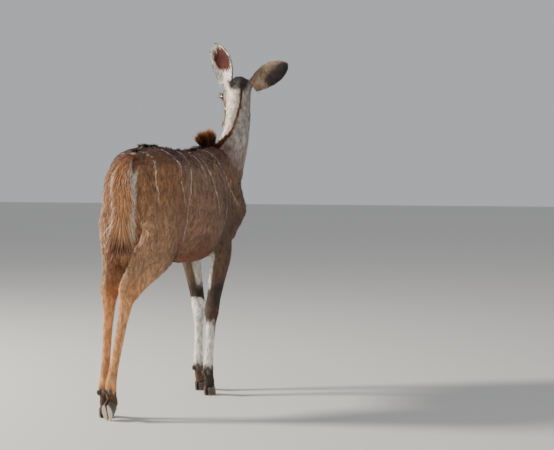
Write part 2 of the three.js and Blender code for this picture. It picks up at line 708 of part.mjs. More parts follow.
// The tail: a flat core, the dock with its short hair, and long hair at its edges and tip.
const TAIL = [
  { at: at(0, 92, 1142), wide: 18, deep: 15 },
  { at: at(-6, 40, 1134), wide: 22, deep: 14 },
  { at: at(-14, -18, 1082), wide: 24, deep: 10 },
  { at: at(-20, -42, 990), wide: 24, deep: 8 },
  { at: at(-20, -46, 880), wide: 20, deep: 6 },
  { at: at(-8, -46, 800), wide: 14, deep: 5 },
];
const TAIL_EDGE = { count: 13, from: 0.22, to: 0.9, long: 140, wide: 30, thick: 4 };
const TAIL_TIP = { count: 10, long: 135, wide: 20, thick: 3.4 };
const dock = new THREE.CatmullRomCurve3(TAIL.map((station) => station.at));
const tailLocks = [];
for (const side of [1, -1]) {
  for (let i = 0; i < TAIL_EDGE.count; i++) {
    const t = THREE.MathUtils.lerp(TAIL_EDGE.from, TAIL_EDGE.to, i / (TAIL_EDGE.count - 1));
    const along = dock.getTangent(t);
    const onward = dock.getTangent(Math.min(t + 0.2, 1)).sub(along).multiplyScalar(0.6);
    const out = chance(0.12, 0.36);
    const way = along.clone().add(at(side * out, i % 2 ? 0.05 : -0.05, 0)).normalize();
    const bend = at(-side * out * 0.45 + 0.1 * t, 0, -0.04).add(onward);
    const root = dock.getPoint(t).add(at(side * chance(5, 14), chance(-3, 3), 0));
    const flat = at(chance(-0.25, 0.25), -1, chance(-0.1, 0.1));
    tailLocks.push(lock(root, way, bend, flat, { ...TAIL_EDGE, long: TAIL_EDGE.long * chance(0.75, 1.05) }));
  }
}
for (let i = 0; i < TAIL_TIP.count; i++) {
  const across = (2 * i) / (TAIL_TIP.count - 1) - 1;
  const root = dock.getPoint(0.97).add(at(across * 12, chance(-3, 3), chance(0, 30)));
  const way = at(across * 0.28 + chance(-0.05, 0.05) + 0.12, chance(-0.06, 0.06), -1).normalize();
  const bend = at(-across * 0.16 + 0.12, 0, 0);
  const flat = at(chance(-0.3, 0.3), -1, 0);
  tailLocks.push(lock(root, way, bend, flat, { ...TAIL_TIP, long: TAIL_TIP.long * chance(0.7, 1.05) }));
}
const tail = joined([tube(TAIL, 12, 8), ...tailLocks]).subtract(torsoGrown);
const tailBend = { point: at(-15, -20, 1068), normal: at(0, -0.35, -1) };
const [tailRoot, tailBrush] = part(tail, tailBend.point, tailBend.normal);
add("tail_root", tailRoot, COLOURS.tail);
add("tail_brush", tailBrush, COLOURS.tail);

// The line of the spine over the trunk, a little above the skin.
const backLine = (from, to, steps, lift) =>
  Array.from({ length: steps + 1 }, (_, i) => {
    const forward = from + ((to - from) * i) / steps;
    return surface(body, at(0, forward, 1000), at(0, 0, 1), 400, 0).add(at(0, 0, lift));
  });
const ridge = (line, wide, deep) => tube(line.map((spot) => ({ at: spot, wide, deep })), line.length + 2, 6);

// The mane on the withers stands in two tufts that lean back, the hind one most.
const WITHERS = [
  { from: 806, to: 862, count: 9, back: [0.95, 0.5], long: 92 },
  { from: 872, to: 932, count: 9, back: [0.45, 0.12], long: 96 },
];
const withers = WITHERS.flatMap(({ from, to, count, back, long }) =>
  row(backLine(from, to, 3, 0), count, (t) => ({
    back: THREE.MathUtils.lerp(back[0], back[1], t),
    long,
    wide: 19,
    thick: 4,
    spread: 0.12,
    deep: 16,
  })),
);
const withersCore = ridge(backLine(800, 938, 4, 6), 7, 24);
const withersMane = joined([withersCore, ...withers]);
add("withers_mane", withersMane.subtract(torsoGrown).subtract(neckGrown), COLOURS.hair);

// The crest along the back is of short tufts that lie back.
const crest = row(backLine(120, 776, 12, 0), 24, () => ({
  back: chance(0.7, 1.05),
  long: chance(26, 40),
  wide: 15,
  thick: 4,
  spread: 0.1,
  deep: 9,
}));
const crestCore = ridge(backLine(112, 786, 12, -2), 5, 9);
add("back_crest", joined([crestCore, ...crest]).subtract(torsoGrown), COLOURS.hair);

// The line up the back of the neck, and the mane that lies down along it.
const neckCurve = new THREE.CatmullRomCurve3(neckPath);
const napeAway = (t) => at(-0.5 * THREE.MathUtils.smoothstep(t, 0.1, 0.45), -0.75, 0.66).normalize();
const NAPE = { from: 0.22, to: 0.84, steps: 8, count: 18 };
const napePoint = (t) => surface(flesh, neckCurve.getPointAt(t), napeAway(t), 190, 0);
const napeLine = Array.from({ length: NAPE.steps + 1 }, (_, i) =>
  napePoint(THREE.MathUtils.lerp(NAPE.from, NAPE.to, i / NAPE.steps)),
);
const napeLocks = Array.from({ length: NAPE.count }, (_, i) => {
  const t = THREE.MathUtils.lerp(NAPE.from, NAPE.to, i / (NAPE.count - 1));
  const away = napeAway(t);
  const down = neckCurve.getTangentAt(t).negate();
  const across = away.clone().cross(down);
  const way = down.addScaledVector(away, chance(0.4, 0.7)).addScaledVector(across, chance(-0.14, 0.14)).normalize();
  const root = napePoint(t).addScaledVector(way, -12);
  const sizes = { long: chance(46, 62), wide: 16, thick: 3.6 };
  return lock(root, way, away.clone().multiplyScalar(-0.1), across, sizes);
});
const napeMane = joined([ridge(napeLine, 5, 8), ...napeLocks]);
add("neck_mane", napeMane.subtract(neckGrown).subtract(headGrown).subtract(torsoGrown), COLOURS.hair);

// The model's own origin is on the floor under the middle of its box.
const box = new THREE.Box3().setFromObject(kudu);
const middle = box.getCenter(new THREE.Vector3());
kudu.position.set(-middle.x, -middle.y, -box.min.z);

export default kudu;
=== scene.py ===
import math

import bmesh
import bpy
import numpy as np
from mathutils import Euler, Matrix, Vector


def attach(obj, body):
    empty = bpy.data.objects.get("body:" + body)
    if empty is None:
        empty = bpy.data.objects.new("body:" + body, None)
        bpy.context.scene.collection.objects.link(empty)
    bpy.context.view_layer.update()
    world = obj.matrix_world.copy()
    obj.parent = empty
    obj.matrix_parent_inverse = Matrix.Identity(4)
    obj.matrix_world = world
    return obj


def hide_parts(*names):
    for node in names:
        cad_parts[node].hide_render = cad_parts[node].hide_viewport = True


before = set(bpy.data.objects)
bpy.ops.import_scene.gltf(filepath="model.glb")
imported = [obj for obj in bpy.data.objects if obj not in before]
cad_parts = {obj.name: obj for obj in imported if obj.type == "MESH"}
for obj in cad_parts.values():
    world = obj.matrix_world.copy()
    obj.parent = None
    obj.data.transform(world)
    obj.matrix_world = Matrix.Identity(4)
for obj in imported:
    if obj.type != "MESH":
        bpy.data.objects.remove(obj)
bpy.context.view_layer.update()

# The camera stands behind the kudu and to her right, as high as her hip, and looks along her right side to
# her turned head.
CAMERA_AT = Vector((-2.948, 6.274, 1.070))
CAMERA_TURN = 22.0
CAMERA_DIP = 2.04
SENSOR_MM = 36
LENS_MM = 94.7


def placed(name, data):
    piece = bpy.data.objects.new(name, data)
    bpy.context.scene.collection.objects.link(piece)
    return piece


camera = placed("camera", bpy.data.cameras.new("camera"))
camera.location = CAMERA_AT
camera.rotation_euler = Euler((math.radians(90 - CAMERA_DIP), 0, math.radians(180 + CAMERA_TURN)))
camera.data.sensor_width = SENSOR_MM
camera.data.lens = LENS_MM
bpy.context.scene.camera = camera

# The studio: a plain pale floor of matt paint under a soft key light from the camera's left, a weak broad
# fill from beside the camera, and pale light all round.
def new_material(name, roughness):
    material = bpy.data.materials.new(name)
    material.use_nodes = True
    shader = material.node_tree.nodes["Principled BSDF"]
    shader.inputs["Roughness"].default_value = roughness
    return material, shader


def finish_of(name, colour, roughness):
    material, shader = new_material(name, roughness)
    shader.inputs["Base Color"].default_value = (*colour, 1)
    return material, shader


def mesh_object(name, points, faces):
    mesh = bpy.data.meshes.new(name)
    mesh.from_pydata(points, [], faces)
    return placed(name, mesh)


FLOOR_HALF = 40
floor_corners = [(-FLOOR_HALF, -FLOOR_HALF, 0), (FLOOR_HALF, -FLOOR_HALF, 0)]
floor_corners += [(FLOOR_HALF, FLOOR_HALF, 0), (-FLOOR_HALF, FLOOR_HALF, 0)]
floor = mesh_object("floor", floor_corners, [(0, 1, 2, 3)])
floor.data.materials.append(finish_of("floor_paint", (0.62, 0.61, 0.58), 0.9)[0])

world = bpy.data.worlds.new("studio")
world.use_nodes = True
world.node_tree.nodes["Background"].inputs["Color"].default_value = (0.93, 0.95, 1.0, 1)
world.node_tree.nodes["Background"].inputs["Strength"].default_value = 0.5
bpy.context.scene.world = world


def softbox(name, place, aim, width, power, colour):
    lamp = placed(name, bpy.data.lights.new(name, "AREA"))
    lamp.data.shape = "DISK"
    lamp.data.size = width
    lamp.data.energy = power
    lamp.data.color = colour
    lamp.location = place
    lamp.rotation_euler = (Vector(aim) - Vector(place)).to_track_quat("-Z", "Y").to_euler()


softbox("key", (5.2, 2.2, 4.2), (0, 0, 0.9), 1.3, 860, (1.0, 0.95, 0.87))
softbox("fill", (-3.4, 5.4, 3.4), (0, 0, 0.9), 3.0, 90, (0.93, 0.96, 1.0))

# The skin of the body: one hide over trunk, neck, head and legs, drawn tight over muscle and bone. It lies
# inside the solids by the depth of the coat, and the lips and the sockets of the eyes are in it.
HAIR_NODES = ("tail_root", "tail_brush", "withers_mane", "back_crest", "neck_mane")
flesh = []
for node_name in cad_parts:
    loose = node_name in HAIR_NODES or "claw" in node_name or node_name.startswith("eye")
    if not loose and not node_name.startswith("ear"):
        flesh.append(node_name)


# One welded mesh of the solids named.
def joined_copy(name, node_names):
    shape = bmesh.new()
    for node_name in node_names:
        shape.from_mesh(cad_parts[node_name].data)
    bmesh.ops.remove_doubles(shape, verts=shape.verts, dist=1e-6)
    mesh = bpy.data.meshes.new(name)
    shape.to_mesh(mesh)
    shape.free()
    return placed(name, mesh)


def applied(piece):
    graph = bpy.context.evaluated_depsgraph_get()
    mesh = bpy.data.meshes.new_from_object(piece.evaluated_get(graph))
    piece.modifiers.clear()
    piece.data = mesh
    return mesh


def numbers_of(rows, field, width=1, kind=np.float32):
    flat = np.empty(len(rows) * width, kind)
    rows.foreach_get(field, flat)
    return flat.reshape(-1, width) if width > 1 else flat


def points_of(mesh):
    return numbers_of(mesh.vertices, "co", 3).astype(np.float64)


def normals_of(mesh):
    return numbers_of(mesh.vertex_normals, "vector", 3).astype(np.float64)


def put_points(mesh, points):
    mesh.vertices.foreach_set("co", points.astype(np.float32).ravel())
    mesh.update()


def ramp(value, low, high):
    t = np.clip((value - low) / (high - low), 0, 1)
    return t * t * (3 - 2 * t)


# In each round, a value is drawn towards the mean of its neighbours along the edges.
def evened(mesh, fields, amount, rounds):
    a, b = numbers_of(mesh.edges, "vertices", 2, np.int32).T
    count = len(fields)
    degree = np.bincount(a, minlength=count) + np.bincount(b, minlength=count)
    fields = fields.copy()
    for _ in range(rounds):
        for axis in range(fields.shape[1]):
            line = fields[:, axis]
            total = np.bincount(a, line[b], count) + np.bincount(b, line[a], count)
            fields[:, axis] = line + amount * (total / degree - line)
    return fields


# Smoothing draws a thin limb in, so what it lost in girth is given back.
def relax(mesh, amount, rounds, girth=True):
    before = points_of(mesh)
    after = evened(mesh, before, amount, rounds)
    put_points(mesh, after)
    if girth:
        outward = normals_of(mesh)
        lost = np.sum((before - after) * outward, axis=1)[:, None]
        put_points(mesh, after + outward * evened(mesh, lost, 0.7, rounds))


# The head has lengths of its own, from the poll: across it, back from the nose, and up.
HEAD_AT = (0.0259, -0.5555, 1.556)
HEAD_TURN = (math.radians(32), 0, math.radians(36))
HEAD_PLACE = Matrix.Translation(HEAD_AT) @ Matrix.Rotation(HEAD_TURN[2], 4, "Z")
HEAD_PLACE = HEAD_PLACE @ Matrix.Rotation(HEAD_TURN[0], 4, "X")
HEAD_BACK = np.array(HEAD_PLACE.inverted())


def in_head(points):
    return points @ HEAD_BACK[:3, :3].T + HEAD_BACK[:3, 3]


def head_share(points, soft=0.05):
    local = in_head(points)
    return ramp(-local[:, 1], -0.01, soft - 0.01) * ramp(points[:, 2], 1.28, 1.34)


SKIN_VOXEL = 0.0032
SKIN_KEPT = 0.27
SKIN_ROUNDS = 34
skin = joined_copy("skin", flesh)
remesh = skin.modifiers.new("hide", "REMESH")
remesh.mode = "VOXEL"
remesh.voxel_size = SKIN_VOXEL
applied(skin)

# Where the head is, the hide keeps its fine mesh. Elsewhere it is made coarser.
coarse = skin.vertex_groups.new(name="coarse")
on_head = np.round(head_share(points_of(skin.data)), 1)
for share in np.unique(on_head):
    coarse.add(np.nonzero(on_head == share)[0].tolist(), float(1 - share), "REPLACE")
thin = skin.modifiers.new("coarser", "DECIMATE")
thin.ratio = SKIN_KEPT
thin.vertex_group = coarse.name
applied(skin)
skin.vertex_groups.clear()

places = points_of(skin.data)
on_head = head_share(places)
on_leg = 1 - ramp(places[:, 2], 0.60, 0.72)
slack = 0.7 * (1 - on_head) * (1 - on_leg) + 0.16 * on_leg + 0.06 * on_head
relax(skin.data, slack, SKIN_ROUNDS)

# The hide sinks in over the flank and behind the elbow, stands over the haunch and the ribs, and lies in
# small folds where it is loose.
places = points_of(skin.data)
outward = normals_of(skin.data)
MIDLINE = 0.0289
side = np.abs(places[:, 0] - MIDLINE)
off_leg = ramp(places[:, 2], 0.66, 0.76) * (1 - on_head)


def swell(middle, reach):
    away = np.stack([side, places[:, 1], places[:, 2]], axis=1) - np.array(middle)
    return np.exp(-np.sum((away / np.array(reach)) ** 2, axis=1))


# Each form: how far it stands out, its middle and its reach.
FORMS = (
    (-0.014, (0.15, 0.33, 0.88), (0.2, 0.05, 0.14)),
    (0.010, (0.15, 0.42, 1.10), (0.2, 0.05, 0.05)),
    (0.008, (0.15, 0.50, 0.93), (0.2, 0.07, 0.16)),
    (-0.007, (0.15, 0.60, 0.98), (0.2, 0.03, 0.14)),
    (-0.008, (0.15, -0.13, 0.90), (0.2, 0.035, 0.15)),
    (0.006, (0.15, -0.24, 0.98), (0.2, 0.05, 0.12)),
    (-0.010, (0.10, -0.40, 0.90), (0.10, 0.07, 0.05)),
    (0.012, (0.11, -0.33, 1.05), (0.10, 0.07, 0.05)),
)
form = sum(height * swell(middle, reach) for height, middle, reach in FORMS)
RIB_STEP = 0.052
ribs = 0.0009 * np.sin((places[:, 1] + 0.25 * (places[:, 2] - 1)) * 2 * math.pi / RIB_STEP)
ribs *= ramp(-places[:, 1], -0.32, -0.2)
ribs *= ramp(places[:, 1], -0.12, -0.02)
ribs *= ramp(side, 0.08, 0.13)
folds = np.sin(places[:, 1] * 95 + 4 * np.sin(places[:, 2] * 23))
folds *= np.sin(places[:, 2] * 41 + places[:, 0] * 30)
form += ribs
form += 0.0018 * folds * off_leg * (1 - ramp(-places[:, 1], 0.3, 0.42))


# Below, the skin sinks between bone and sinew above the hock and down each shank, and stands over the
# knees and the point of the hock. Each form: how far it stands out, its top and bottom inside the leg, and
# its reach.
def beside(top, bottom, reach):
    top = np.array(top)
    axis = np.array(bottom) - top
    share = np.clip((places - top) @ axis / (axis @ axis), 0, 1)
    away = places - top - share[:, None] * axis
    near = np.exp(-(away[:, 1] ** 2 + away[:, 2] ** 2) / reach**2)
    return near * (1 - ramp(np.abs(away[:, 0]), 0.05, 0.06))


LEG_FORMS = (
    (-0.019, (0.010, 0.666, 0.568), (-0.036, 0.598, 0.668), 0.021),
    (-0.019, (0.117, 0.641, 0.560), (0.133, 0.572, 0.664), 0.021),
    (0.006, (0.021, 0.734, 0.586), (0.021, 0.730, 0.570), 0.018),
    (0.006, (0.117, 0.710, 0.576), (0.117, 0.706, 0.560), 0.018),
    (0.003, (0.017, 0.672, 0.528), (0.017, 0.678, 0.512), 0.016),
    (0.003, (0.115, 0.646, 0.520), (0.115, 0.652, 0.504), 0.016),
    (-0.0036, (0.022, 0.697, 0.470), (0.058, 0.736, 0.190), 0.0075),
    (-0.0036, (0.116, 0.673, 0.460), (0.124, 0.684, 0.180), 0.0075),
    (-0.0030, (-0.023, -0.110, 0.370), (-0.025, -0.076, 0.170), 0.0065),
    (-0.0030, (0.097, -0.226, 0.370), (0.092, -0.208, 0.170), 0.0065),
    (0.003, (-0.023, -0.124, 0.430), (-0.023, -0.124, 0.395), 0.020),
    (0.003, (0.097, -0.236, 0.430), (0.097, -0.236, 0.395), 0.020),
)
bone = sum(height * beside(top, bottom, reach) for height, top, bottom, reach in LEG_FORMS)

# How far the hide lies inside the solids, which leaves room for the hair.
COAT_DEPTH = {"body": 0.0042, "leg": 0.0016, "head": 0.0012}
depth = COAT_DEPTH["body"] * (1 - on_leg) * (1 - on_head)
depth += COAT_DEPTH["leg"] * on_leg + COAT_DEPTH["head"] * on_head
put_points(skin.data, places + outward * (form * off_leg + bone - depth)[:, None])
skin.data.shade_smooth()

# The ears: big leaves of gristle with a hollow turned outwards, thin at the rim and ridged inside. They are
# part of the same hide and grow out of the sides of the poll.
EAR_LONG = 0.209
EAR_WIDE = 0.126
EAR_CUP = 0.030
EAR_THICK = 0.0022
EARS = (
    {"root": (0.066, 0, -0.036), "tip": (0.26, 0.08, 0.96), "hollow": (0.3, 1, 0)},
    {"root": (-0.072, -0.004, -0.050), "tip": (-0.74, -0.3, 0.52), "hollow": (0.1, -1, -0.3)},
)
EAR_RINGS = 46
EAR_SPAN = 24


def unit(vector):
    return vector / np.linalg.norm(vector)


def ear_frame(ear):
    root = np.array(HEAD_PLACE @ Vector(ear["root"]))
    along = unit(np.array(ear["tip"]))
    hollow = np.array(ear["hollow"])
    hollow = unit(hollow - along * np.dot(hollow, along))
    return root, along, hollow, np.cross(hollow, along)


def ear_shell(ear):
    root, along, hollow, across = ear_frame(ear)
    points = []
    marks = []
    for ring in range(EAR_RINGS):
        t = ring / EAR_RINGS
        leaf = math.sin(math.pi * (0.10 + 0.90 * t**1.15)) ** 0.52
        half = EAR_WIDE / 2 * leaf * (1 + 0.012 * math.sin(t * 31))
        cup = EAR_CUP * (1 - 0.75 * t) + 0.006
        plug = cup * max(0, 1 - t / 0.16)
        centre = root + along * EAR_LONG * t - hollow * 0.010 * math.sin(math.pi * t)
        for inside in (0, 1):
            for step in range(EAR_SPAN + 1):
                s = 2 * step / EAR_SPAN - 1
                s = -s if inside else s
                ridge = 0.0014 * max(0, math.cos(3 * math.pi * s)) * (1 - t) * (1 - abs(s))
                lift = inside * (EAR_THICK * (1.4 - 0.7 * abs(s)) + plug * (1 - s * s) + ridge)
                bowl = -cup * max(0, math.cos(s * math.pi / 2)) ** 1.2
                sideways = half * math.sin(s * math.pi / 2)
                points.append(centre + across * sideways + hollow * (bowl + lift))
                marks.append((s, 0.02 + 0.98 * t, inside))
    count = 2 * (EAR_SPAN + 1)
    faces = []
    for ring in range(EAR_RINGS - 1):
        for corner in range(count):
            after = (corner + 1) % count
            start = ring * count
            faces.append((start + corner, start + after, start + count + after, start + count + corner))
    points += [np.mean(points[:count], axis=0), root + along * EAR_LONG]
    marks += [(0, 0.02, 0), (0, 1, 0)]
    bottom = len(points) - 2
    top = len(points) - 1
    last = (EAR_RINGS - 1) * count
    for corner in range(count):
        after = (corner + 1) % count
        faces.append((bottom, after, corner))
        faces.append((last + corner, last + after, top))
    return np.array(points), faces, np.array(marks)


hide_count = len(skin.data.vertices)
ear_marks = [np.zeros((hide_count, 3))]
ear_ways = []
whole = bmesh.new()
whole.from_mesh(skin.data)
for ear in EARS:
    points, faces, marks = ear_shell(ear)
    verts = [whole.verts.new(point) for point in points]
    for face in faces:
        made = whole.faces.new([verts[corner] for corner in face])
        made.smooth = True
    ear_marks.append(marks)
    root, along, hollow, across = ear_frame(ear)
    inside = marks[:, 2:]
    ear_ways.append(along + across * marks[:, :1] * (0.35 - 1.0 * inside) + hollow * 0.25 * inside)
bmesh.ops.triangulate(whole, faces=[face for face in whole.faces if len(face.verts) > 3])
whole.normal_update()
whole.to_mesh(skin.data)
whole.free()
ear_marks = np.concatenate(ear_marks)
on_ear = np.arange(len(ear_marks)) >= hide_count

# The lie of the hair, which grows out of the hide at a low angle: back and down over the body, down the legs,
# down the neck, from the nose up over the face, and from the root to the tip of the ears.
places = points_of(skin.data)
on_head = head_share(places, 0.13)
on_leg = 1 - ramp(places[:, 2], 0.60, 0.72)
outward = normals_of(skin.data)
head_up = np.array(HEAD_PLACE.to_3x3() @ Vector((0, 1, 0.1)))
on_neck = ramp(-places[:, 1], 0.33, 0.43) * ramp(places[:, 2], 1.02, 1.16) * (1 - on_head)
on_rump = ramp(places[:, 1], 0.48, 0.66)
near_spine = ramp(places[:, 2], 1.02, 1.16) * (1 - on_neck)
lie = np.outer(1 - on_head, (0, 0.62, -0.72)) + np.outer(on_head, head_up)
lie += np.outer(near_spine * (1 - on_head), (0, 0.55, 0.25)) + np.outer(on_neck, (0, -0.5, -0.4))
lie += np.outer((on_rump * 0.6 + on_leg) * (1 - on_head), (0, -0.45, -0.5))
swirl = np.sin(places[:, 1] * 17 + 2 * np.sin(places[:, 2] * 13))
swirl *= np.cos(places[:, 2] * 19 + places[:, 0] * 9)
lie[:, 1] += 0.30 * swirl * (1 - on_head) * (1 - on_leg)
lie[on_ear] = np.concatenate(ear_ways)
lie -= outward * np.sum(lie * outward, axis=1)[:, None]
lie /= np.maximum(np.linalg.norm(lie, axis=1), 1e-6)[:, None]

# A tuft's length and width, and how many tufts grow on a square metre of hide. None grow on the lids or on
# the nose pad.
HAIR_LONG = {"body": 0.018, "rump": 0.005, "neck": -0.004, "leg": 0.0080, "head": 0.0080, "nose": -0.0035}
HAIR_WIDE = {"body": 0.0031, "leg": 0.0017, "head": 0.0016, "ear": 0.0017}
HAIR_THICK = {"body": 36500, "leg": 74000, "head": 155000, "ear": 84000, "in_ear": -42000}
EYE_AT = (0.0575, -0.110, -0.046)
EYE_CLEAR = (0.0185, 0.0215)
long = HAIR_LONG["body"] + HAIR_LONG["rump"] * on_rump + HAIR_LONG["neck"] * on_neck
long = long * (1 - on_leg) + HAIR_LONG["leg"] * on_leg
in_face = in_head(places)
on_nose = ramp(-in_face[:, 1], 0.20, 0.31) * on_head
long = long * (1 - on_head) + (HAIR_LONG["head"] + HAIR_LONG["nose"] * on_nose) * on_head
nose_pad = on_head * ramp(-in_face[:, 1], 0.325, 0.335)
wide = HAIR_WIDE["body"] * (1 - on_leg) * (1 - on_head)
wide = wide + HAIR_WIDE["leg"] * on_leg + HAIR_WIDE["head"] * on_head
thick = HAIR_THICK["body"] * (1 - on_leg) * (1 - on_head)
thick = thick + HAIR_THICK["leg"] * on_leg + HAIR_THICK["head"] * on_head * (1 - nose_pad)
at_eye = np.stack([np.abs(in_face[:, 0]), in_face[:, 1], in_face[:, 2]], axis=1) - np.array(EYE_AT)
from_eye = np.linalg.norm(at_eye, axis=1)
thick = thick * ramp(from_eye, *EYE_CLEAR)
long = long * (0.45 + 0.55 * ramp(from_eye, 0.024, 0.05))
ear_rim = np.abs(ear_marks[:, 0])
fringe = ear_marks[:, 2] * ramp(ear_rim, 0.35, 0.7) * ramp(-ear_marks[:, 1], -0.95, -0.75)
long = np.where(on_ear, 0.008 + 0.018 * fringe, long)
wide = np.where(on_ear, HAIR_WIDE["ear"], wide)
thick = np.where(on_ear, HAIR_THICK["ear"] + HAIR_THICK["in_ear"] * ear_marks[:, 2] * (1 - fringe), thick)


def store(mesh, name, values, kind="FLOAT", domain="POINT"):
    old = mesh.attributes.get(name)
    if old:
        mesh.attributes.remove(old)
    held = mesh.attributes.new(name, kind, domain)
    field = {"FLOAT_VECTOR": "vector", "FLOAT2": "vector", "FLOAT_COLOR": "color"}.get(kind, "value")
    number = np.int32 if kind == "INT" else np.float32
    held.data.foreach_set(field, np.asarray(values, number).ravel())


store(skin.data, "lie", lie, "FLOAT_VECTOR")
store(skin.data, "long", long)
store(skin.data, "wide", wide)
store(skin.data, "thick", thick)
store(skin.data, "ear", ear_marks, "FLOAT_VECTOR")

# An unwrap of the skin: one cylinder round the trunk, the neck and each leg, and a strip for each side of an
# ear. Every tuft finds its own place on it by its root, so that its colour can be kept on a flat sheet.
LIMBS = (
    {"tile": (0, 0), "middle": (0.0, 0.0, 0.95), "axis": 1},
    {"tile": (1, 0), "middle": (0.0, -0.44, 1.3), "axis": 2},
    {"tile": (2, 0), "middle": (0.09, -0.24, 0.4), "axis": 2},
    {"tile": (0, 1), "middle": (-0.03, -0.11, 0.4), "axis": 2},
    {"tile": (1, 1), "middle": (0.12, 0.62, 0.4), "axis": 2},
    {"tile": (2, 1), "middle": (-0.02, 0.68, 0.4), "axis": 2},
)


def corners_of(mesh):
    return numbers_of(mesh.loops, "vertex_index", 1, np.int32)


def unwrap(mesh):
    corners = corners_of(mesh)
    totals = numbers_of(mesh.polygons, "loop_total", 1, np.int32)
    owner = np.repeat(np.arange(len(totals)), totals)
    points = points_of(mesh)
    centre = np.stack([np.bincount(owner, points[corners, k]) / totals for k in range(3)], axis=1)
    limb = np.zeros(len(totals), np.int32)
    limb[(centre[:, 2] > 1.12) & (centre[:, 1] < -0.35)] = 1
    low = centre[:, 2] < 0.70
    fore = centre[:, 1] < 0.2
    limb[low & fore & (centre[:, 0] > 0.02)] = 2
    limb[low & fore & (centre[:, 0] <= 0.02)] = 3
    between_hocks = 0.055
    limb[low & ~fore & (centre[:, 0] > between_hocks)] = 4
    limb[low & ~fore & (centre[:, 0] <= between_hocks)] = 5
    uv = np.empty((len(corners), 2))
    for index, part in enumerate(LIMBS):
        mine = limb[owner] == index
        p = points[corners[mine]] - np.array(part["middle"])
        axis = part["axis"]
        round_it = np.arctan2(p[:, 3 - axis], p[:, 0]) / (2 * math.pi)
        face = owner[mine]
        middle = centre[face] - np.array(part["middle"])
        home = np.arctan2(middle[:, 3 - axis], middle[:, 0]) / (2 * math.pi)
        round_it += np.round(home - round_it)
        u = 0.02 + 0.27 * (round_it + 0.5) + part["tile"][0] / 3
        v = 0.04 + 0.42 * (p[:, axis] + 0.75) / 1.5 + part["tile"][1] / 2
        uv[mine] = np.stack([np.clip(u, 0.001, 0.996), np.clip(v, 0.001, 0.996)], axis=1)
    return uv


def store_uv(mesh, name, uv):
    layer = mesh.uv_layers.get(name) or mesh.uv_layers.new(name=name)
    layer.data.foreach_set("uv", uv.astype(np.float32).ravel())


bake = unwrap(skin.data)
corner_points = corners_of(skin.data)
ear_corner = on_ear[corner_points]
leaf_mark = ear_marks[corner_points][ear_corner]
left_ear = corner_points[ear_corner] < hide_count + np.count_nonzero(on_ear) // 2
bake[ear_corner, 0] = 0.297 + 0.014 * (leaf_mark[:, 0] + 1) + np.where(left_ear, 0, 1 / 3)
bake[ear_corner, 1] = 0.04 + 0.2 * leaf_mark[:, 1] + 0.21 * leaf_mark[:, 2]
store_uv(skin.data, "OFBake", bake)
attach(skin, "root")
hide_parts(*flesh, "ear_left", "ear_right")

# The markings of the coat: grey-brown flanks, a redder rump, tawny legs with white and dark on the
# forelegs, a pale neck, and thin white stripes from the spine. Light is painted in with them: painted shade
# on the shoulder, the belly, the right side of the neck, the right foreleg, the backs of the ears, the
# nostrils and the mouth slit, painted light on the left side of the neck, and the painted shadow of the left
# ear behind the ears.
# Skin and hair both wear them.
def paint(r, g, b):
    def linear(part):
        part = part / 255
        return part / 12.92 if part <= 0.04045 else ((part + 0.055) / 1.055) ** 2.4

    return (linear(r), linear(g), linear(b), 1)


def new_group(name, inputs, outputs, kind="ShaderNodeTree"):
    tree = bpy.data.node_groups.new(name, kind)
    for label, socket_kind, *value in inputs:
        socket = tree.interface.new_socket(label, in_out="INPUT", socket_type=socket_kind)
        if value:
            socket.default_value = value[0]
    for label, socket_kind in outputs:
        tree.interface.new_socket(label, in_out="OUTPUT", socket_type=socket_kind)
    return tree, tree.nodes.new("NodeGroupInput"), tree.nodes.new("NodeGroupOutput")


def feed(socket, value):
    if isinstance(value, bpy.types.NodeSocket):
        socket.id_data.links.new(value, socket)
    elif value is not None:
        socket.default_value = value


# A new node in the tree that the given sockets are in.
def node_by(kind, *values):
    sockets = [value for value in values if isinstance(value, bpy.types.NodeSocket)]
    return sockets[0].id_data.nodes.new(kind)


def calc(way, a, b=None, c=None, kind="ShaderNodeMath"):
    node = node_by(kind, a, b, c)
    node.operation = way
    for socket, value in zip(node.inputs, (a, b, c)):
        feed(socket, value)
    return node.outputs[0]


def vector_calc(way, a, b=None, c=None):
    return calc(way, a, b, c, "ShaderNodeVectorMath")


def vector_of(x=None, y=None, z=None):
    node = node_by("ShaderNodeCombineXYZ", x, y, z)
    for socket, value in zip(node.inputs, (x, y, z)):
        feed(socket, value)
    return node.outputs[0]


def rise(value, low, high):
    node = node_by("ShaderNodeMapRange", value)
    node.interpolation_type = "SMOOTHSTEP"
    feed(node.inputs["Value"], value)
    feed(node.inputs["From Min"], low)
    feed(node.inputs["From Max"], high)
    return node.outputs["Result"]


def both(*masks):
    total = masks[0]
    for mask in masks[1:]:
        total = calc("MULTIPLY", total, mask)
    return total


def rest(mask):
    return calc("SUBTRACT", 1.0, mask)


def blend(share, under, over):
    node = node_by("ShaderNodeMix", share, under, over)
    node.data_type = "RGBA"
    feed(node.inputs[0], share)
    feed(node.inputs[6], under)
    feed(node.inputs[7], over)
    return node.outputs[2]


def grain(vector, scale, detail=2.0, rough=0.5):
    node = node_by("ShaderNodeTexNoise", vector)
    feed(node.inputs["Vector"], vector)
    node.inputs["Scale"].default_value = scale
    node.inputs["Detail"].default_value = detail
    node.inputs["Roughness"].default_value = rough
    return node.outputs["Fac"]


def mapped(vector, scale=(1, 1, 1), turn=(0, 0, 0), shift=(0, 0, 0), kind="POINT"):
    node = node_by("ShaderNodeMapping", vector)
    node.vector_type = kind
    feed(node.inputs["Vector"], vector)
    node.inputs["Location"].default_value = shift
    node.inputs["Rotation"].default_value = turn
    node.inputs["Scale"].default_value = scale
    return node.outputs["Vector"]


def split(vector):
    node = node_by("ShaderNodeSeparateXYZ", vector)
    feed(node.inputs[0], vector)
    return node.outputs["X"], node.outputs["Y"], node.outputs["Z"]


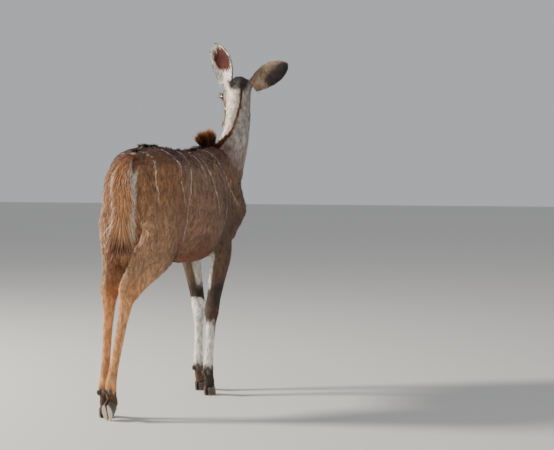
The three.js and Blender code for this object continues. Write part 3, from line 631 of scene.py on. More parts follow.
def spot_group():
    inputs = [("Position", "NodeSocketVector"), ("Middle", "NodeSocketVector")]
    inputs += [("Reach", "NodeSocketVector"), ("Soft", "NodeSocketFloat", 0.3)]
    tree, given, out = new_group("spot", inputs, [("Mask", "NodeSocketFloat")])
    away = vector_calc("SUBTRACT", given.outputs["Position"], given.outputs["Middle"])
    scaled = vector_calc("DIVIDE", away, given.outputs["Reach"])
    length = vector_calc("LENGTH", scaled).node.outputs["Value"]
    inner = rest(given.outputs["Soft"])
    outer = calc("ADD", 1.0, given.outputs["Soft"])
    feed(out.inputs["Mask"], rest(rise(length, inner, outer)))
    return tree


STRIPE_TOP = 1.18
STRIPE_STRENGTH = 0.86


def stripe_group():
    inputs = [("Position", "NodeSocketVector"), ("Start", "NodeSocketFloat", 0.0)]
    inputs += [("Lean", "NodeSocketFloat", 0.0), ("Curve", "NodeSocketFloat", 0.0)]
    inputs += [("Long", "NodeSocketFloat", 0.3), ("Half width", "NodeSocketFloat", 0.0024)]
    tree, given, out = new_group("stripe", inputs, [("Mask", "NodeSocketFloat")])
    _, back, up = split(given.outputs["Position"])
    drop = calc("SUBTRACT", STRIPE_TOP, up)
    line = calc("MULTIPLY_ADD", drop, given.outputs["Curve"], given.outputs["Lean"])
    line = calc("MULTIPLY_ADD", line, drop, given.outputs["Start"])
    off = calc("ABSOLUTE", calc("SUBTRACT", back, line))
    broad = both(given.outputs["Half width"], 1.5)
    narrow = both(given.outputs["Half width"], 0.6)
    across = both(rest(rise(off, narrow, broad)), STRIPE_STRENGTH)
    fade = both(given.outputs["Long"], 0.7)
    feed(out.inputs["Mask"], both(across, rest(rise(drop, fade, given.outputs["Long"]))))
    return tree


SPOT = spot_group()
STRIPE = stripe_group()


def spot(position, middle, reach, soft=0.3):
    node = node_by("ShaderNodeGroup", position)
    node.node_tree = SPOT
    feed(node.inputs["Position"], position)
    node.inputs["Middle"].default_value = middle
    node.inputs["Reach"].default_value = reach
    node.inputs["Soft"].default_value = soft
    return node.outputs["Mask"]


# Start is how far back of her middle a stripe leaves the spine, and lean and curve say how it runs down.
STRIPES = (
    {"Start": 0.547, "Lean": 0.46, "Curve": -1.0, "Long": 0.27, "Half width": 0.0013},
    {"Start": 0.462, "Lean": -0.29, "Curve": 0.0, "Long": 0.29},
    {"Start": 0.245, "Lean": 0.62, "Curve": -1.0, "Long": 0.46},
    {"Start": 0.075, "Lean": 0.35, "Curve": -1.5, "Long": 0.33},
    {"Start": 0.120, "Lean": 0.40, "Curve": -0.4, "Long": 0.16},
    {"Start": 0.060, "Lean": -1.50, "Curve": 3.6, "Long": 0.44},
    {"Start": -0.075, "Lean": -0.35, "Curve": -1.3, "Long": 0.30},
    {"Start": 0.350, "Lean": 0.15, "Curve": -0.3, "Long": 0.15},
)
COLOUR = {
    "flank": paint(152, 116, 90),
    "rump": paint(158, 112, 76),
    "spine": paint(104, 66, 42),
    "belly_shade": paint(128, 82, 56),
    "shoulder": paint(108, 84, 68),
    "leg": paint(210, 152, 100),
    "forearm": paint(104, 80, 62),
    "thigh": paint(172, 132, 98),
    "neck": paint(250, 236, 214),
    "neck_shade": paint(186, 173, 162),
    "white": paint(240, 234, 222),
    "dark": paint(50, 38, 31),
    "crown": paint(42, 41, 43),
    "face": paint(142, 118, 98),
    "bridge": paint(92, 68, 52),
    "jaw": paint(196, 182, 164),
    "nose": paint(38, 32, 30),
    "nostril": paint(16, 12, 11),
    "ear_back": paint(160, 132, 106),
    "ear_back_shade": paint(36, 28, 23),
    "ear_red": paint(84, 32, 21),
}


def markings_group():
    inputs = [("Position", "NodeSocketVector"), ("Ear", "NodeSocketVector")]
    tree, given, out = new_group("kudu_markings", inputs, [("Color", "NodeSocketColor")])
    place = given.outputs["Position"]
    left, back, up = split(place)
    side = calc("ABSOLUTE", calc("SUBTRACT", left, MIDLINE))
    cloud = grain(place, 9.0, 3.0)
    cloud_off = calc("SUBTRACT", cloud, 0.5)
    waver = both(cloud_off, 0.12)
    back_w = calc("ADD", back, waver)
    fine_off = calc("SUBTRACT", grain(place, 55.0, 2.0), 0.5)
    up_w = calc("MULTIPLY_ADD", cloud_off, 0.09, calc("MULTIPLY_ADD", fine_off, 0.05, up))

    # The trunk, from the flank back to the rump, then the spine, the belly and the shoulder, both in painted
    # shade, and the thigh.
    body = blend(rise(back_w, 0.28, 0.52), COLOUR["flank"], COLOUR["rump"])
    spine = both(rise(up_w, 1.06, 1.17), rise(back_w, -0.42, -0.3))
    body = blend(spine, body, COLOUR["spine"])
    # Painted shade: the belly is painted darker, as it lies in shade.
    body = blend(rise(up_w, 0.80, 0.69), body, COLOUR["belly_shade"])
    # Painted shade: the shoulder and the front of the trunk are painted darker, as if in shade.
    shoulder = both(rise(back_w, 0.06, -0.10), rise(up_w, 1.08, 0.92))
    body = blend(both(shoulder, 0.75), body, COLOUR["shoulder"])
    thigh = both(rise(back_w, 0.42, 0.50), rise(up_w, 1.02, 0.84))
    body = blend(thigh, body, COLOUR["thigh"])

    # The legs: brown above, a dark band round each foreleg, white socks and inner sides, and dark pasterns.
    # Down the front of the right foreleg, below its band, the dark goes on to the hoof as painted shade.
    on_leg = rise(up_w, 0.66, 0.52)
    legs = blend(on_leg, body, COLOUR["leg"])
    fore = rise(back, 0.0, -0.03)
    brown = both(fore, rise(up_w, 0.40, 0.50), rise(up_w, 0.90, 0.72))
    legs = blend(brown, legs, COLOUR["forearm"])
    left_leg = rise(left, 0.03, 0.05)
    right_leg = rest(left_leg)
    # On the left foreleg this is the real band. On the right foreleg it runs on to the hoof as painted shade.
    band_and_shade = rise(calc("ADD", up_w, both(left_leg, 0.02)), 0.60, 0.52)
    band_left = both(fore, left_leg, rise(up_w, 0.44, 0.46), band_and_shade)
    right_band_and_shade = both(fore, right_leg, band_and_shade)
    dark_band_and_shade = calc("MAXIMUM", band_left, right_band_and_shade)
    legs = blend(both(dark_band_and_shade, 0.92), legs, COLOUR["dark"])
    sock_left = both(left_leg, rise(back, -0.285, -0.255), rise(up_w, 0.465, 0.445))
    sock_right = both(right_leg, rise(back, -0.118, -0.10), rise(up_w, 0.37, 0.33))
    sock = both(fore, calc("ADD", sock_left, both(sock_right, 0.9)))
    sock = both(sock, rise(up_w, 0.10, 0.14))
    legs = blend(sock, legs, COLOUR["white"])
    below_elbow = calc("SUBTRACT", up, 0.412)
    right_inner = calc("ADD", left, calc("MULTIPLY_ADD", below_elbow, 0.19, 0.023))
    left_inner = calc("SUBTRACT", calc("MULTIPLY_ADD", below_elbow, 0.152, 0.097), left)
    right_inner = both(right_leg, rise(right_inner, 0.004, 0.018))
    left_inner = both(left_leg, rise(left_inner, 0.016, 0.030))
    inside = calc("ADD", right_inner, left_inner)
    inside = both(fore, inside, rise(up_w, 0.50, 0.55), rise(up_w, 0.72, 0.66))
    legs = blend(both(inside, 0.85), legs, COLOUR["white"])
    pastern = both(rise(up_w, 0.150, 0.120), rise(up, 0.035, 0.05))
    legs = blend(both(pastern, 0.85), legs, COLOUR["dark"])

    neck = both(rise(back_w, -0.22, -0.40), rise(up_w, 0.98, 1.24))
    # Painted light on the pale neck: its left side is painted lit, and its right side is in painted shade.
    neck_lit_and_shaded = blend(rise(left, 0.035, -0.03), COLOUR["neck"], COLOUR["neck_shade"])
    coat = blend(neck, legs, neck_lit_and_shaded)

    # The stripes, which waver a little, the white line along the spine, and pale hair beside the tail.
    wobble = grain(place, 26.0, 1.0)
    nudged = both(calc("SUBTRACT", wobble, 0.5), 0.020)
    nudged = calc("MULTIPLY_ADD", rise(left, MIDLINE, 0.04), 0.016, nudged)
    drift = vector_calc("ADD", place, vector_of(y=nudged))
    lines = None
    for stripe in STRIPES:
        node = tree.nodes.new("ShaderNodeGroup")
        node.node_tree = STRIPE
        feed(node.inputs["Position"], drift)
        for label, value in stripe.items():
            node.inputs[label].default_value = value
        mask = node.outputs["Mask"]
        lines = mask if lines is None else calc("MAXIMUM", lines, mask)
    spine_line = both(rise(side, 0.012, 0.006), rise(up, 1.10, 1.14), rise(back, -0.10, -0.06), 0.7)
    pale = calc("MAXIMUM", lines, spine_line)
    pale = both(pale, rise(grain(place, 60.0, 1.0), 0.26, 0.38))
    coat = blend(pale, coat, COLOUR["white"])
    right_of_tail = spot(place, (-0.028, 0.675, 1.02), (0.010, 0.06, 0.075))
    left_of_tail = spot(place, (0.080, 0.68, 0.96), (0.008, 0.06, 0.11))
    beside_tail = calc("MAXIMUM", right_of_tail, left_of_tail)
    coat = blend(both(beside_tail, 0.7), coat, COLOUR["white"])

    # The head, in its own lengths from the poll towards the nose.
    at_head = mapped(place, (1, 1, 1), HEAD_TURN, tuple(HEAD_PLACE.translation), "TEXTURE")
    across, along, high = split(at_head)
    ahead = both(along, -1.0)
    off = calc("ABSOLUTE", across)
    is_head = both(rise(ahead, -0.01, 0.11), rise(up, 1.29, 1.33))
    bridge = both(rise(off, 0.035, 0.02), rise(ahead, 0.12, 0.2))
    face = blend(bridge, COLOUR["face"], COLOUR["bridge"])
    face = blend(rise(high, -0.085, -0.115), face, COLOUR["jaw"])
    swept = calc("SUBTRACT", ahead, both(off, -0.75))
    chevron = both(rise(swept, 0.150, 0.156), rise(swept, 0.170, 0.163), rise(off, 0.05, 0.035))
    face = blend(both(chevron, 0.8), face, COLOUR["white"])
    half_head = vector_of(off, ahead, high)
    for middle, size in (((0.05, 0.16, -0.085), 0.011), ((0.045, 0.19, -0.095), 0.009)):
        face = blend(spot(half_head, middle, (0.03, size, size)), face, COLOUR["white"])
    ring = spot(half_head, (0.062, 0.110, -0.046), (0.03, 0.030, 0.026), 0.25)
    face = blend(both(ring, 0.55), face, COLOUR["bridge"])
    lid = spot(half_head, (0.062, 0.110, -0.046), (0.03, 0.0215, 0.0205), 0.08)
    face = blend(lid, face, COLOUR["nose"])
    lips = both(rise(ahead, 0.29, 0.325), rise(high, -0.082, -0.09))
    face = blend(lips, face, COLOUR["white"])
    # The mouth slit is painted as a dark line: painted shade inside the slit.
    from_mouth = calc("ABSOLUTE", calc("ADD", high, 0.093))
    mouth_slit_shade = both(rise(ahead, 0.235, 0.26), rise(from_mouth, 0.0035, 0.0012))
    face = blend(both(mouth_slit_shade, 0.9), face, COLOUR["nose"])
    pad = both(rise(ahead, 0.324, 0.334), rise(high, -0.094, -0.088))
    face = blend(pad, face, COLOUR["nose"])
    # The nostrils are painted near black: painted shade inside the openings.
    nostril = spot(half_head, (0.021, 0.344, -0.062), (0.008, 0.016, 0.011))
    face = blend(nostril, face, COLOUR["nostril"])
    coat = blend(is_head, coat, face)
    # A painted shadow: the shadow of the left ear, cast on the back of the head between the ears.
    crown = spot(place, (0.004, -0.512, 1.535), (0.052, 0.060, 0.055), 0.25)
    coat = blend(both(crown, 0.97), coat, COLOUR["crown"])

    # The ears: pale-rimmed, red-brown inside, and dark at the root, with painted shade over the lower rim of
    # their backs.
    edge, length, inner = split(given.outputs["Ear"])
    rim = calc("ABSOLUTE", edge)
    # Painted shade on the backs of the ears, over the lower rim towards the tip.
    shaded = calc("ADD", edge, calc("MULTIPLY_ADD", length, 0.7, both(cloud_off, 0.8)))
    shaded = both(rise(shaded, 0.12, 0.60), rise(length, 0.22, 0.40))
    ear_out = blend(both(shaded, 0.95), COLOUR["ear_back"], COLOUR["ear_back_shade"])
    ear_out = blend(rise(rim, 0.90, 0.98), ear_out, COLOUR["bridge"])
    frayed = calc("SUBTRACT", grain(mapped(given.outputs["Ear"], (14, 2.2, 1)), 2.0, 2.0), 0.5)
    fray_x = calc("MULTIPLY_ADD", frayed, 0.5, edge)
    fray_y = calc("MULTIPLY_ADD", frayed, 0.45, length)
    hollow = spot(vector_of(fray_x, fray_y), (-0.04, 0.60, 0.0), (0.68, 0.31, 1.0), 0.12)
    ear_in = blend(hollow, COLOUR["white"], COLOUR["ear_red"])
    ear_in = blend(rise(rim, 0.93, 0.99), ear_in, COLOUR["bridge"])
    ear_colour = blend(inner, ear_out, ear_in)
    coat = blend(rise(length, 0.0, 0.04), coat, ear_colour)
    feed(out.inputs["Color"], coat)
    return tree


MARKINGS = markings_group()


# Hair catches light in streaks along its lie, in clumps and in broad patches.
def hair_light_group():
    outputs = [("Light", "NodeSocketFloat"), ("Streak", "NodeSocketFloat")]
    tree, given, out = new_group("hair_light", [("Position", "NodeSocketVector")], outputs)
    place = given.outputs["Position"]
    streak = grain(mapped(place, (1, 0.55, 0.22)), 150.0, 3.0, 0.6)
    patch = grain(place, 5.0, 2.0)
    clump = rise(grain(mapped(place, (1, 0.8, 0.42)), 66.0, 2.0, 0.6), 0.34, 0.66)
    light = calc("MULTIPLY_ADD", streak, 0.55, 0.70)
    light = both(light, calc("MULTIPLY_ADD", patch, 0.34, 0.83), calc("MULTIPLY_ADD", clump, 0.56, 0.72))
    feed(out.inputs["Light"], light)
    feed(out.inputs["Streak"], streak)
    return tree


HAIR_LIGHT = hair_light_group()


def marked(tree, label, output="Fac"):
    node = tree.nodes.new("ShaderNodeAttribute")
    node.attribute_name = label
    return node.outputs[output]


def lit(colour, light):
    node = node_by("ShaderNodeHueSaturation", colour)
    feed(node.inputs["Color"], colour)
    feed(node.inputs["Value"], light)
    return node.outputs["Color"]


# The hide's own material, and with from_root that of the tufts, which take the colour of the place they grow
# from. No two tufts are quite alike, and each is lighter towards its tip.
def coat_material(name, from_root):
    material, shader = new_material(name, 0.62)
    tree = material.node_tree
    coordinates = tree.nodes.new("ShaderNodeTexCoord")
    place = marked(tree, "root", "Vector") if from_root else coordinates.outputs["Object"]
    marks = tree.nodes.new("ShaderNodeGroup")
    marks.node_tree = MARKINGS
    feed(marks.inputs["Position"], place)
    feed(marks.inputs["Ear"], marked(tree, "ear", "Vector"))
    gleam = tree.nodes.new("ShaderNodeGroup")
    gleam.node_tree = HAIR_LIGHT
    feed(gleam.inputs["Position"], place)
    light = gleam.outputs["Light"]
    if from_root:
        light = both(light, calc("MULTIPLY_ADD", marked(tree, "tone"), 0.84, 0.60))
        light = both(light, calc("MULTIPLY_ADD", marked(tree, "along"), 0.62, 0.68))
    feed(shader.inputs["Base Color"], lit(marks.outputs["Color"], light))
    shader.inputs["Specular IOR Level"].default_value = 0.32
    shader.inputs["Sheen Weight"].default_value = 0.12
    shader.inputs["Sheen Roughness"].default_value = 0.5
    if not from_root:
        bump = tree.nodes.new("ShaderNodeBump")
        bump.inputs["Strength"].default_value = 0.5
        bump.inputs["Distance"].default_value = 0.0025
        feed(bump.inputs["Height"], gleam.outputs["Streak"])
        feed(shader.inputs["Normal"], bump.outputs["Normal"])
    return material


skin.data.materials.clear()
skin.data.materials.append(coat_material("hide", False))

# The short coat: small flat tufts of hair, each a thin blade rooted in the hide, lying along its lie and over
# the next. They are longest on the rump and smallest on the face and the feet.
def blade(name, steps, tip, keel=0.035):
    points = []
    for along, width, height in steps:
        points += [(-width / 2, along, height), (width / 2, along, height), (0, along, height + keel)]
    points.append(tip)
    faces = [(0, 2, 1)]
    last = 3 * len(steps) - 3
    for corner in range(3):
        after = (corner + 1) % 3
        for ring in range(0, last, 3):
            faces.append((ring + corner, ring + after, ring + after + 3))
            faces.append((ring + corner, ring + after + 3, ring + corner + 3))
        faces.append((last + corner, last + after, len(points) - 1))
    made = mesh_object(name, points, faces)
    store(made.data, "along", [point[1] for point in points])
    return made


tuft = blade("tuft", ((0.0, 0.62, -0.05), (0.38, 1.0, 0.10)), (0, 1, 0.11))


# Tufts grow on the plot of the ground that has the given number. The ground's own marks say how thick, long
# and wide they grow and which way they lie.
def growth_tree(material):
    inputs = [("Geometry", "NodeSocketGeometry"), ("Tuft", "NodeSocketObject"), ("Plot", "NodeSocketInt")]
    inputs += [("Seed", "NodeSocketInt"), ("Spread", "NodeSocketFloat"), ("Lift", "NodeSocketFloat")]
    outputs = [("Geometry", "NodeSocketGeometry")]
    tree, given, out = new_group("growth_of_" + material.name, inputs, outputs, "GeometryNodeTree")
    make = tree.nodes.new

    def named(label, kind="FLOAT"):
        node = make("GeometryNodeInputNamedAttribute")
        node.data_type = kind
        node.inputs["Name"].default_value = label
        return node.outputs["Attribute"]

    def chance(low, high, seed, kind="FLOAT"):
        node = make("FunctionNodeRandomValue")
        node.data_type = kind
        first = 0 if kind == "FLOAT_VECTOR" else 2
        node.inputs[first].default_value = low
        node.inputs[first + 1].default_value = high
        feed(node.inputs["Seed"], calc("ADD", given.outputs["Seed"], seed))
        return node.outputs[0 if kind == "FLOAT_VECTOR" else 1]

    def stored(geometry, label, value, kind):
        node = make("GeometryNodeStoreNamedAttribute")
        node.data_type = kind
        node.inputs["Name"].default_value = label
        feed(node.inputs["Geometry"], geometry)
        feed(node.inputs["Value"], value)
        return node.outputs["Geometry"]

    scatter = make("GeometryNodeDistributePointsOnFaces")
    mine = make("FunctionNodeCompare")
    mine.data_type = "INT"
    mine.operation = "EQUAL"
    feed(mine.inputs[2], named("plot", "INT"))
    feed(mine.inputs[3], given.outputs["Plot"])
    feed(scatter.inputs["Mesh"], given.outputs["Geometry"])
    feed(scatter.inputs["Selection"], mine.outputs[0])
    feed(scatter.inputs["Density"], named("thick"))
    feed(scatter.inputs["Seed"], given.outputs["Seed"])
    position = make("GeometryNodeInputPosition")
    points = stored(scatter.outputs["Points"], "root", position.outputs[0], "FLOAT_VECTOR")
    points = stored(points, "tone", chance(0.0, 1.0, 11), "FLOAT")

    astray = chance((-1, -1, -1), (1, 1, 1), 23, "FLOAT_VECTOR")
    spread = vector_of(*[given.outputs["Spread"]] * 3)
    way = vector_calc("MULTIPLY_ADD", astray, spread, named("lie", "FLOAT_VECTOR"))
    lifted = make("ShaderNodeVectorMath")
    lifted.operation = "SCALE"
    feed(lifted.inputs[0], scatter.outputs["Normal"])
    feed(lifted.inputs["Scale"], both(given.outputs["Lift"], chance(0.3, 1.0, 31)))
    turn = make("FunctionNodeAxesToRotation")
    turn.primary_axis = "Y"
    turn.secondary_axis = "Z"
    feed(turn.inputs[0], vector_calc("ADD", way, lifted.outputs[0]))
    feed(turn.inputs[1], scatter.outputs["Normal"])

    length = both(named("long"), chance(0.7, 1.2, 41))
    width = both(named("wide"), chance(0.75, 1.2, 43))
    model = make("GeometryNodeObjectInfo")
    feed(model.inputs["Object"], given.outputs["Tuft"])
    rooted = make("GeometryNodeInstanceOnPoints")
    feed(rooted.inputs["Points"], points)
    feed(rooted.inputs["Instance"], model.outputs["Geometry"])
    feed(rooted.inputs["Rotation"], turn.outputs[0])
    feed(rooted.inputs["Scale"], vector_of(width, length, length))
    real = make("GeometryNodeRealizeInstances")
    feed(real.inputs["Geometry"], rooted.outputs["Instances"])
    dress = make("GeometryNodeSetMaterial")
    dress.inputs["Material"].default_value = material
    feed(dress.inputs["Geometry"], real.outputs["Geometry"])
    feed(out.inputs["Geometry"], dress.outputs["Geometry"])
    return tree


# The marks that only the growing needs come off again.
def stripped(mesh):
    for label in ("lie", "long", "wide", "thick", "plot"):
        mesh.attributes.remove(mesh.attributes[label])


# Each tuft takes up a small patch of the flat sheet, at the place of its root.
BAKE_PATCH = 0.003


def grown(name, tree, ground, values):
    growth = ground.modifiers.new("growth", "NODES")
    growth.node_group = tree
    for item in tree.interface.items_tree:
        if item.in_out == "INPUT" and item.name in values:
            growth[item.identifier] = values[item.name]
    graph = bpy.context.evaluated_depsgraph_get()
    graph.update()
    mesh = bpy.data.meshes.new_from_object(ground.evaluated_get(graph))
    ground.modifiers.remove(growth)
    mesh.name = name
    piece = placed(name, mesh)
    home = mesh.attributes["OFBake"]
    roots = numbers_of(home.data, "vector", 2)
    mesh.attributes.remove(home)
    along = numbers_of(mesh.attributes["along"].data, "value")
    turn = np.arange(len(mesh.vertices)) % len(values["Tuft"].data.vertices) * 2.4
    patch = np.stack([0.5 + 0.45 * np.cos(turn), along], axis=1) * BAKE_PATCH
    store_uv(mesh, "OFBake", (roots + patch)[corners_of(mesh)])
    stripped(mesh)
    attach(piece, "root")
    return piece


# The hide is marked out in plots of about as many tufts each, from the head to the tail, one piece for each.
COAT_PLOTS = 9
centres = numbers_of(skin.data.polygons, "center", 3)
areas = numbers_of(skin.data.polygons, "area")
expected = areas * thick[corners_of(skin.data)[::3]]
order = np.argsort(centres[:, 1] + 0.35 * centres[:, 2])
share = np.cumsum(expected[order])
plot = np.empty(len(areas), np.int32)
plot[order] = np.minimum((share / share[-1] * COAT_PLOTS).astype(np.int32), COAT_PLOTS - 1)
store(skin.data, "plot", plot, "INT", "FACE")

coat_tree = growth_tree(coat_material("coat_hair", True))
for index in range(COAT_PLOTS):
    values = {"Tuft": tuft, "Plot": index, "Seed": 3 + index, "Spread": 0.20, "Lift": 0.09}
    grown("coat_%d" % (index + 1), coat_tree, skin, values)
bpy.data.objects.remove(tuft)

# The longer hair, in locks: thin flat strands rooted in a bed of their own. Each lock takes its colour from
# its bed, a little paler or darker than the next, and has another tint towards its tip.
def lock_shade_group():
    inputs = [("Tint", "NodeSocketColor"), ("Tip", "NodeSocketColor"), ("Tip from", "NodeSocketFloat", 0.5)]
    inputs += [("Tone", "NodeSocketFloat"), ("Along", "NodeSocketFloat")]
    tree, given, out = new_group("lock_shade", inputs, [("Color", "NodeSocketColor")])
    tip_share = rise(given.outputs["Along"], given.outputs["Tip from"], 1.0)
    colour = blend(tip_share, given.outputs["Tint"], given.outputs["Tip"])
    light = calc("MULTIPLY_ADD", given.outputs["Tone"], 0.85, 0.52)
    light = both(light, calc("MULTIPLY_ADD", given.outputs["Along"], 0.3, 0.85))
    feed(out.inputs["Color"], lit(colour, light))
    return tree


LOCK_SHADE = lock_shade_group()


def lock_material(name, tip_colour, tip_from, rough):
    material, shader = new_material(name, rough)
    tree = material.node_tree
    shade = tree.nodes.new("ShaderNodeGroup")
    shade.node_tree = LOCK_SHADE
    feed(shade.inputs["Tint"], marked(tree, "tint", "Color"))
    feed(shade.inputs["Tip"], tip_colour)
    feed(shade.inputs["Tip from"], tip_from)
    feed(shade.inputs["Tone"], marked(tree, "tone"))
    feed(shade.inputs["Along"], marked(tree, "along"))
    feed(shader.inputs["Base Color"], shade.outputs["Color"])
    shader.inputs["Specular IOR Level"].default_value = 0.35
    return material


# A bed is the part of the hide that a lot of locks grows from.
def bed_of_skin(name, keep):
    triangles = corners_of(skin.data).reshape(-1, 3)
    triangles = triangles[keep[triangles].all(axis=1)]
    used, renumbered = np.unique(triangles, return_inverse=True)
    bed = mesh_object(name, places[used].tolist(), renumbered.reshape(-1, 3).tolist())
    store_uv(bed.data, "OFBake", unwrap(bed.data))
    return bed, used


def plant(name, bed, model, material, hair, seed):
    count = len(bed.data.vertices)
    store(bed.data, "lie", hair["lie"], "FLOAT_VECTOR")
    for label in ("long", "wide", "thick"):
        store(bed.data, label, np.broadcast_to(hair[label], count))
    store(bed.data, "tint", hair["tint"], "FLOAT_COLOR")
    store(bed.data, "plot", np.zeros(len(bed.data.polygons)), "INT", "FACE")
    values = {"Tuft": model, "Plot": 0, "Seed": seed, "Spread": hair["spread"], "Lift": hair["lift"]}
    return grown(name, growth_tree(material), bed, values)


def mixed(share, under, over):
    share = np.asarray(share)[:, None]
    return np.asarray(under) * (1 - share) + np.asarray(over) * share


# The tail: a thin flat dock under skin, with long hair along both edges and a tuft at the end. The hair is
# tawny on the outside, white at the edges and below, and dark at the tip. Each stop: its place, half its
# width and half its depth.
TAIL_STOPS = (
    (0.0289, 0.5800, 1.136, 0.016, 0.012),
    (0.0229, 0.6425, 1.128, 0.017, 0.011),
    (0.0149, 0.6990, 1.078, 0.017, 0.008),
    (0.0089, 0.7190, 0.990, 0.016, 0.006),
    (0.0089, 0.7230, 0.890, 0.013, 0.005),
    (0.0170, 0.7230, 0.815, 0.007, 0.004),
)


def smooth_path(stops, count):
    stops = np.array(stops)
    where = np.linspace(0, len(stops) - 1, count)
    first = np.minimum(where.astype(int), len(stops) - 2)
    t = (where - first)[:, None]
    before = stops[np.maximum(first - 1, 0)]
    start = stops[first]
    end = stops[first + 1]
    after = stops[np.minimum(first + 2, len(stops) - 1)]
    square = 2 * before - 5 * start + 4 * end - after
    cube = 3 * start - before - 3 * end + after
    return start + 0.5 * t * (end - before + t * (square + t * cube))


def tube_of(name, path, sides):
    centre = path[:, :3]
    widths = path[:, 3:]
    along = np.gradient(centre, axis=0)
    along /= np.linalg.norm(along, axis=1)[:, None]
    across = np.array((1.0, 0, 0)) - along * along[:, :1]
    across /= np.linalg.norm(across, axis=1)[:, None]
    out = np.cross(across, along)
    turn = np.arange(sides) * 2 * math.pi / sides
    rings = centre[:, None] + across[:, None] * (widths[:, :1] * np.cos(turn))[..., None]
    rings = rings + out[:, None] * (widths[:, 1:] * np.sin(turn))[..., None]
    end = centre[-1] + along[-1] * widths[-1, 0]
    points = rings.reshape(-1, 3).tolist() + [centre[0].tolist(), end.tolist()]
    faces = []
    for ring in range(len(path) - 1):
        for corner in range(sides):
            after = (corner + 1) % sides
            a = ring * sides + corner
            b = ring * sides + after
            faces += [(a, b + sides, b), (a, a + sides, b + sides)]
    last = (len(path) - 1) * sides
    for corner in range(sides):
        after = (corner + 1) % sides
        faces += [(len(points) - 2, corner, after), (len(points) - 1, last + after, last + corner)]
    grid_turn = np.append(np.tile(turn, len(path)), (0, 0))
    grid_t = np.append(np.repeat(np.linspace(0, 1, len(path)), sides), (0, 1))
    ways = []
    for way in (along, across, out):
        ways.append(np.append(np.repeat(way, sides, axis=0), way[[0, -1]], axis=0))
    return mesh_object(name, points, faces), grid_turn, grid_t, ways


dock, dock_turn, dock_t, dock_ways = tube_of("dock", smooth_path(TAIL_STOPS, 64), 20)
dock_along, dock_across, dock_out = dock_ways
dock.data.shade_smooth()
edge = np.cos(dock_turn)
outside = np.sin(dock_turn)
fan = 0.10 + 0.42 * ramp(dock_t, 0.1, 0.5) - 0.2 * ramp(dock_t, 0.8, 1.0)
tail_lie = dock_along + dock_across * (edge * fan)[:, None] + dock_out * (0.06 * outside)[:, None]
tail_long = 0.028 + 0.062 * ramp(dock_t, 0.1, 0.45) + 0.045 * ramp(dock_t, 0.65, 1.0)
brown = mixed(ramp(dock_t, 0.1, 0.5), paint(142, 98, 66), paint(184, 134, 92))
white_edge = np.maximum(ramp(np.abs(edge), 0.90, 0.985), ramp(-outside, 0.15, 0.5)) * ramp(dock_t, 0.12, 0.3)
tail_tint = mixed(white_edge * (1 - 0.7 * ramp(dock_t, 0.8, 0.95)), brown, paint(240, 232, 218))
tail_tint = mixed(ramp(dock_t, 0.80, 0.96) * ramp(outside, -0.6, 0.2), tail_tint, paint(70, 44, 31))
dock_uv = np.stack([0.962 + 0.005 * (dock_turn / math.pi), 0.04 + 0.4 * dock_t], axis=1)
store_uv(dock.data, "OFBake", dock_uv[corners_of(dock.data)])
lock = blade("lock", ((0.0, 0.8, 0.0), (0.3, 1.0, 0.03), (0.68, 0.75, 0.02)), (0, 1, -0.03), 0.008)
tail_hair = lock_material("tail_hair", paint(186, 118, 72), 0.72, 0.5)
tail_coat = {"lie": tail_lie, "long": tail_long, "wide": 0.0030, "thick": 190000, "tint": tail_tint}
tail_coat |= {"spread": 0.16, "lift": 0.05}
plant("tail_locks", dock, lock, tail_hair, tail_coat, 5)
stripped(dock.data)
store(dock.data, "tone", np.full(len(dock.data.vertices), 0.4))
store(dock.data, "along", np.zeros(len(dock.data.vertices)))
dock.data.materials.append(lock_material("dock_skin", paint(150, 104, 70), 0.9, 0.6))
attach(dock, "root")
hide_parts("tail_root", "tail_brush")

# The manes: a crest of short dark hair down the spine, with white hair along its middle. It stands up over
# the withers in two fans, and goes on as a thin brown line up the back of the neck to the crown.
centre_off = np.abs(places[:, 0] - MIDLINE)
is_top = outward[:, 2] > 0.35
on_crest = is_top & (centre_off < 0.020) & (places[:, 1] > -0.14) & (places[:, 1] < 0.575)
crest_bed, used = bed_of_skin("crest_bed", on_crest)
crest_off = centre_off[used] + 0.002 * np.sin(places[used, 1] * 160)
crest_white = ramp(-crest_off, -0.0085, -0.004) * ramp(np.sin(places[used, 1] * 75), -0.9, -0.3)
crest_tint = mixed(crest_white, paint(46, 33, 26), paint(232, 226, 214))
sideways = np.sign(places[used, 0] - MIDLINE) * ramp(crest_off, 0.0, 0.015)
crest_lie = np.stack([0.35 * sideways, np.full(len(used), 0.95), 0.5 - 0.25 * crest_white], axis=1)
tufted = 0.5 + 0.5 * np.sin(places[used, 1] * 118 + 2 * np.sin(places[used, 1] * 31))
crest_long = 0.013 + 0.020 * tufted**2
mane_hair = lock_material("mane_hair", paint(120, 92, 68), 0.55, 0.5)
crest_thick = 130000 + 90000 * tufted
crest_hair = {"lie": crest_lie, "long": crest_long, "wide": 0.0014, "thick": crest_thick, "tint": crest_tint}
crest_hair |= {"spread": 0.22, "lift": 0.1}
crest = plant("crest_locks", crest_bed, lock, mane_hair, crest_hair, 7)
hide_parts("back_crest")
bpy.data.objects.remove(crest_bed)

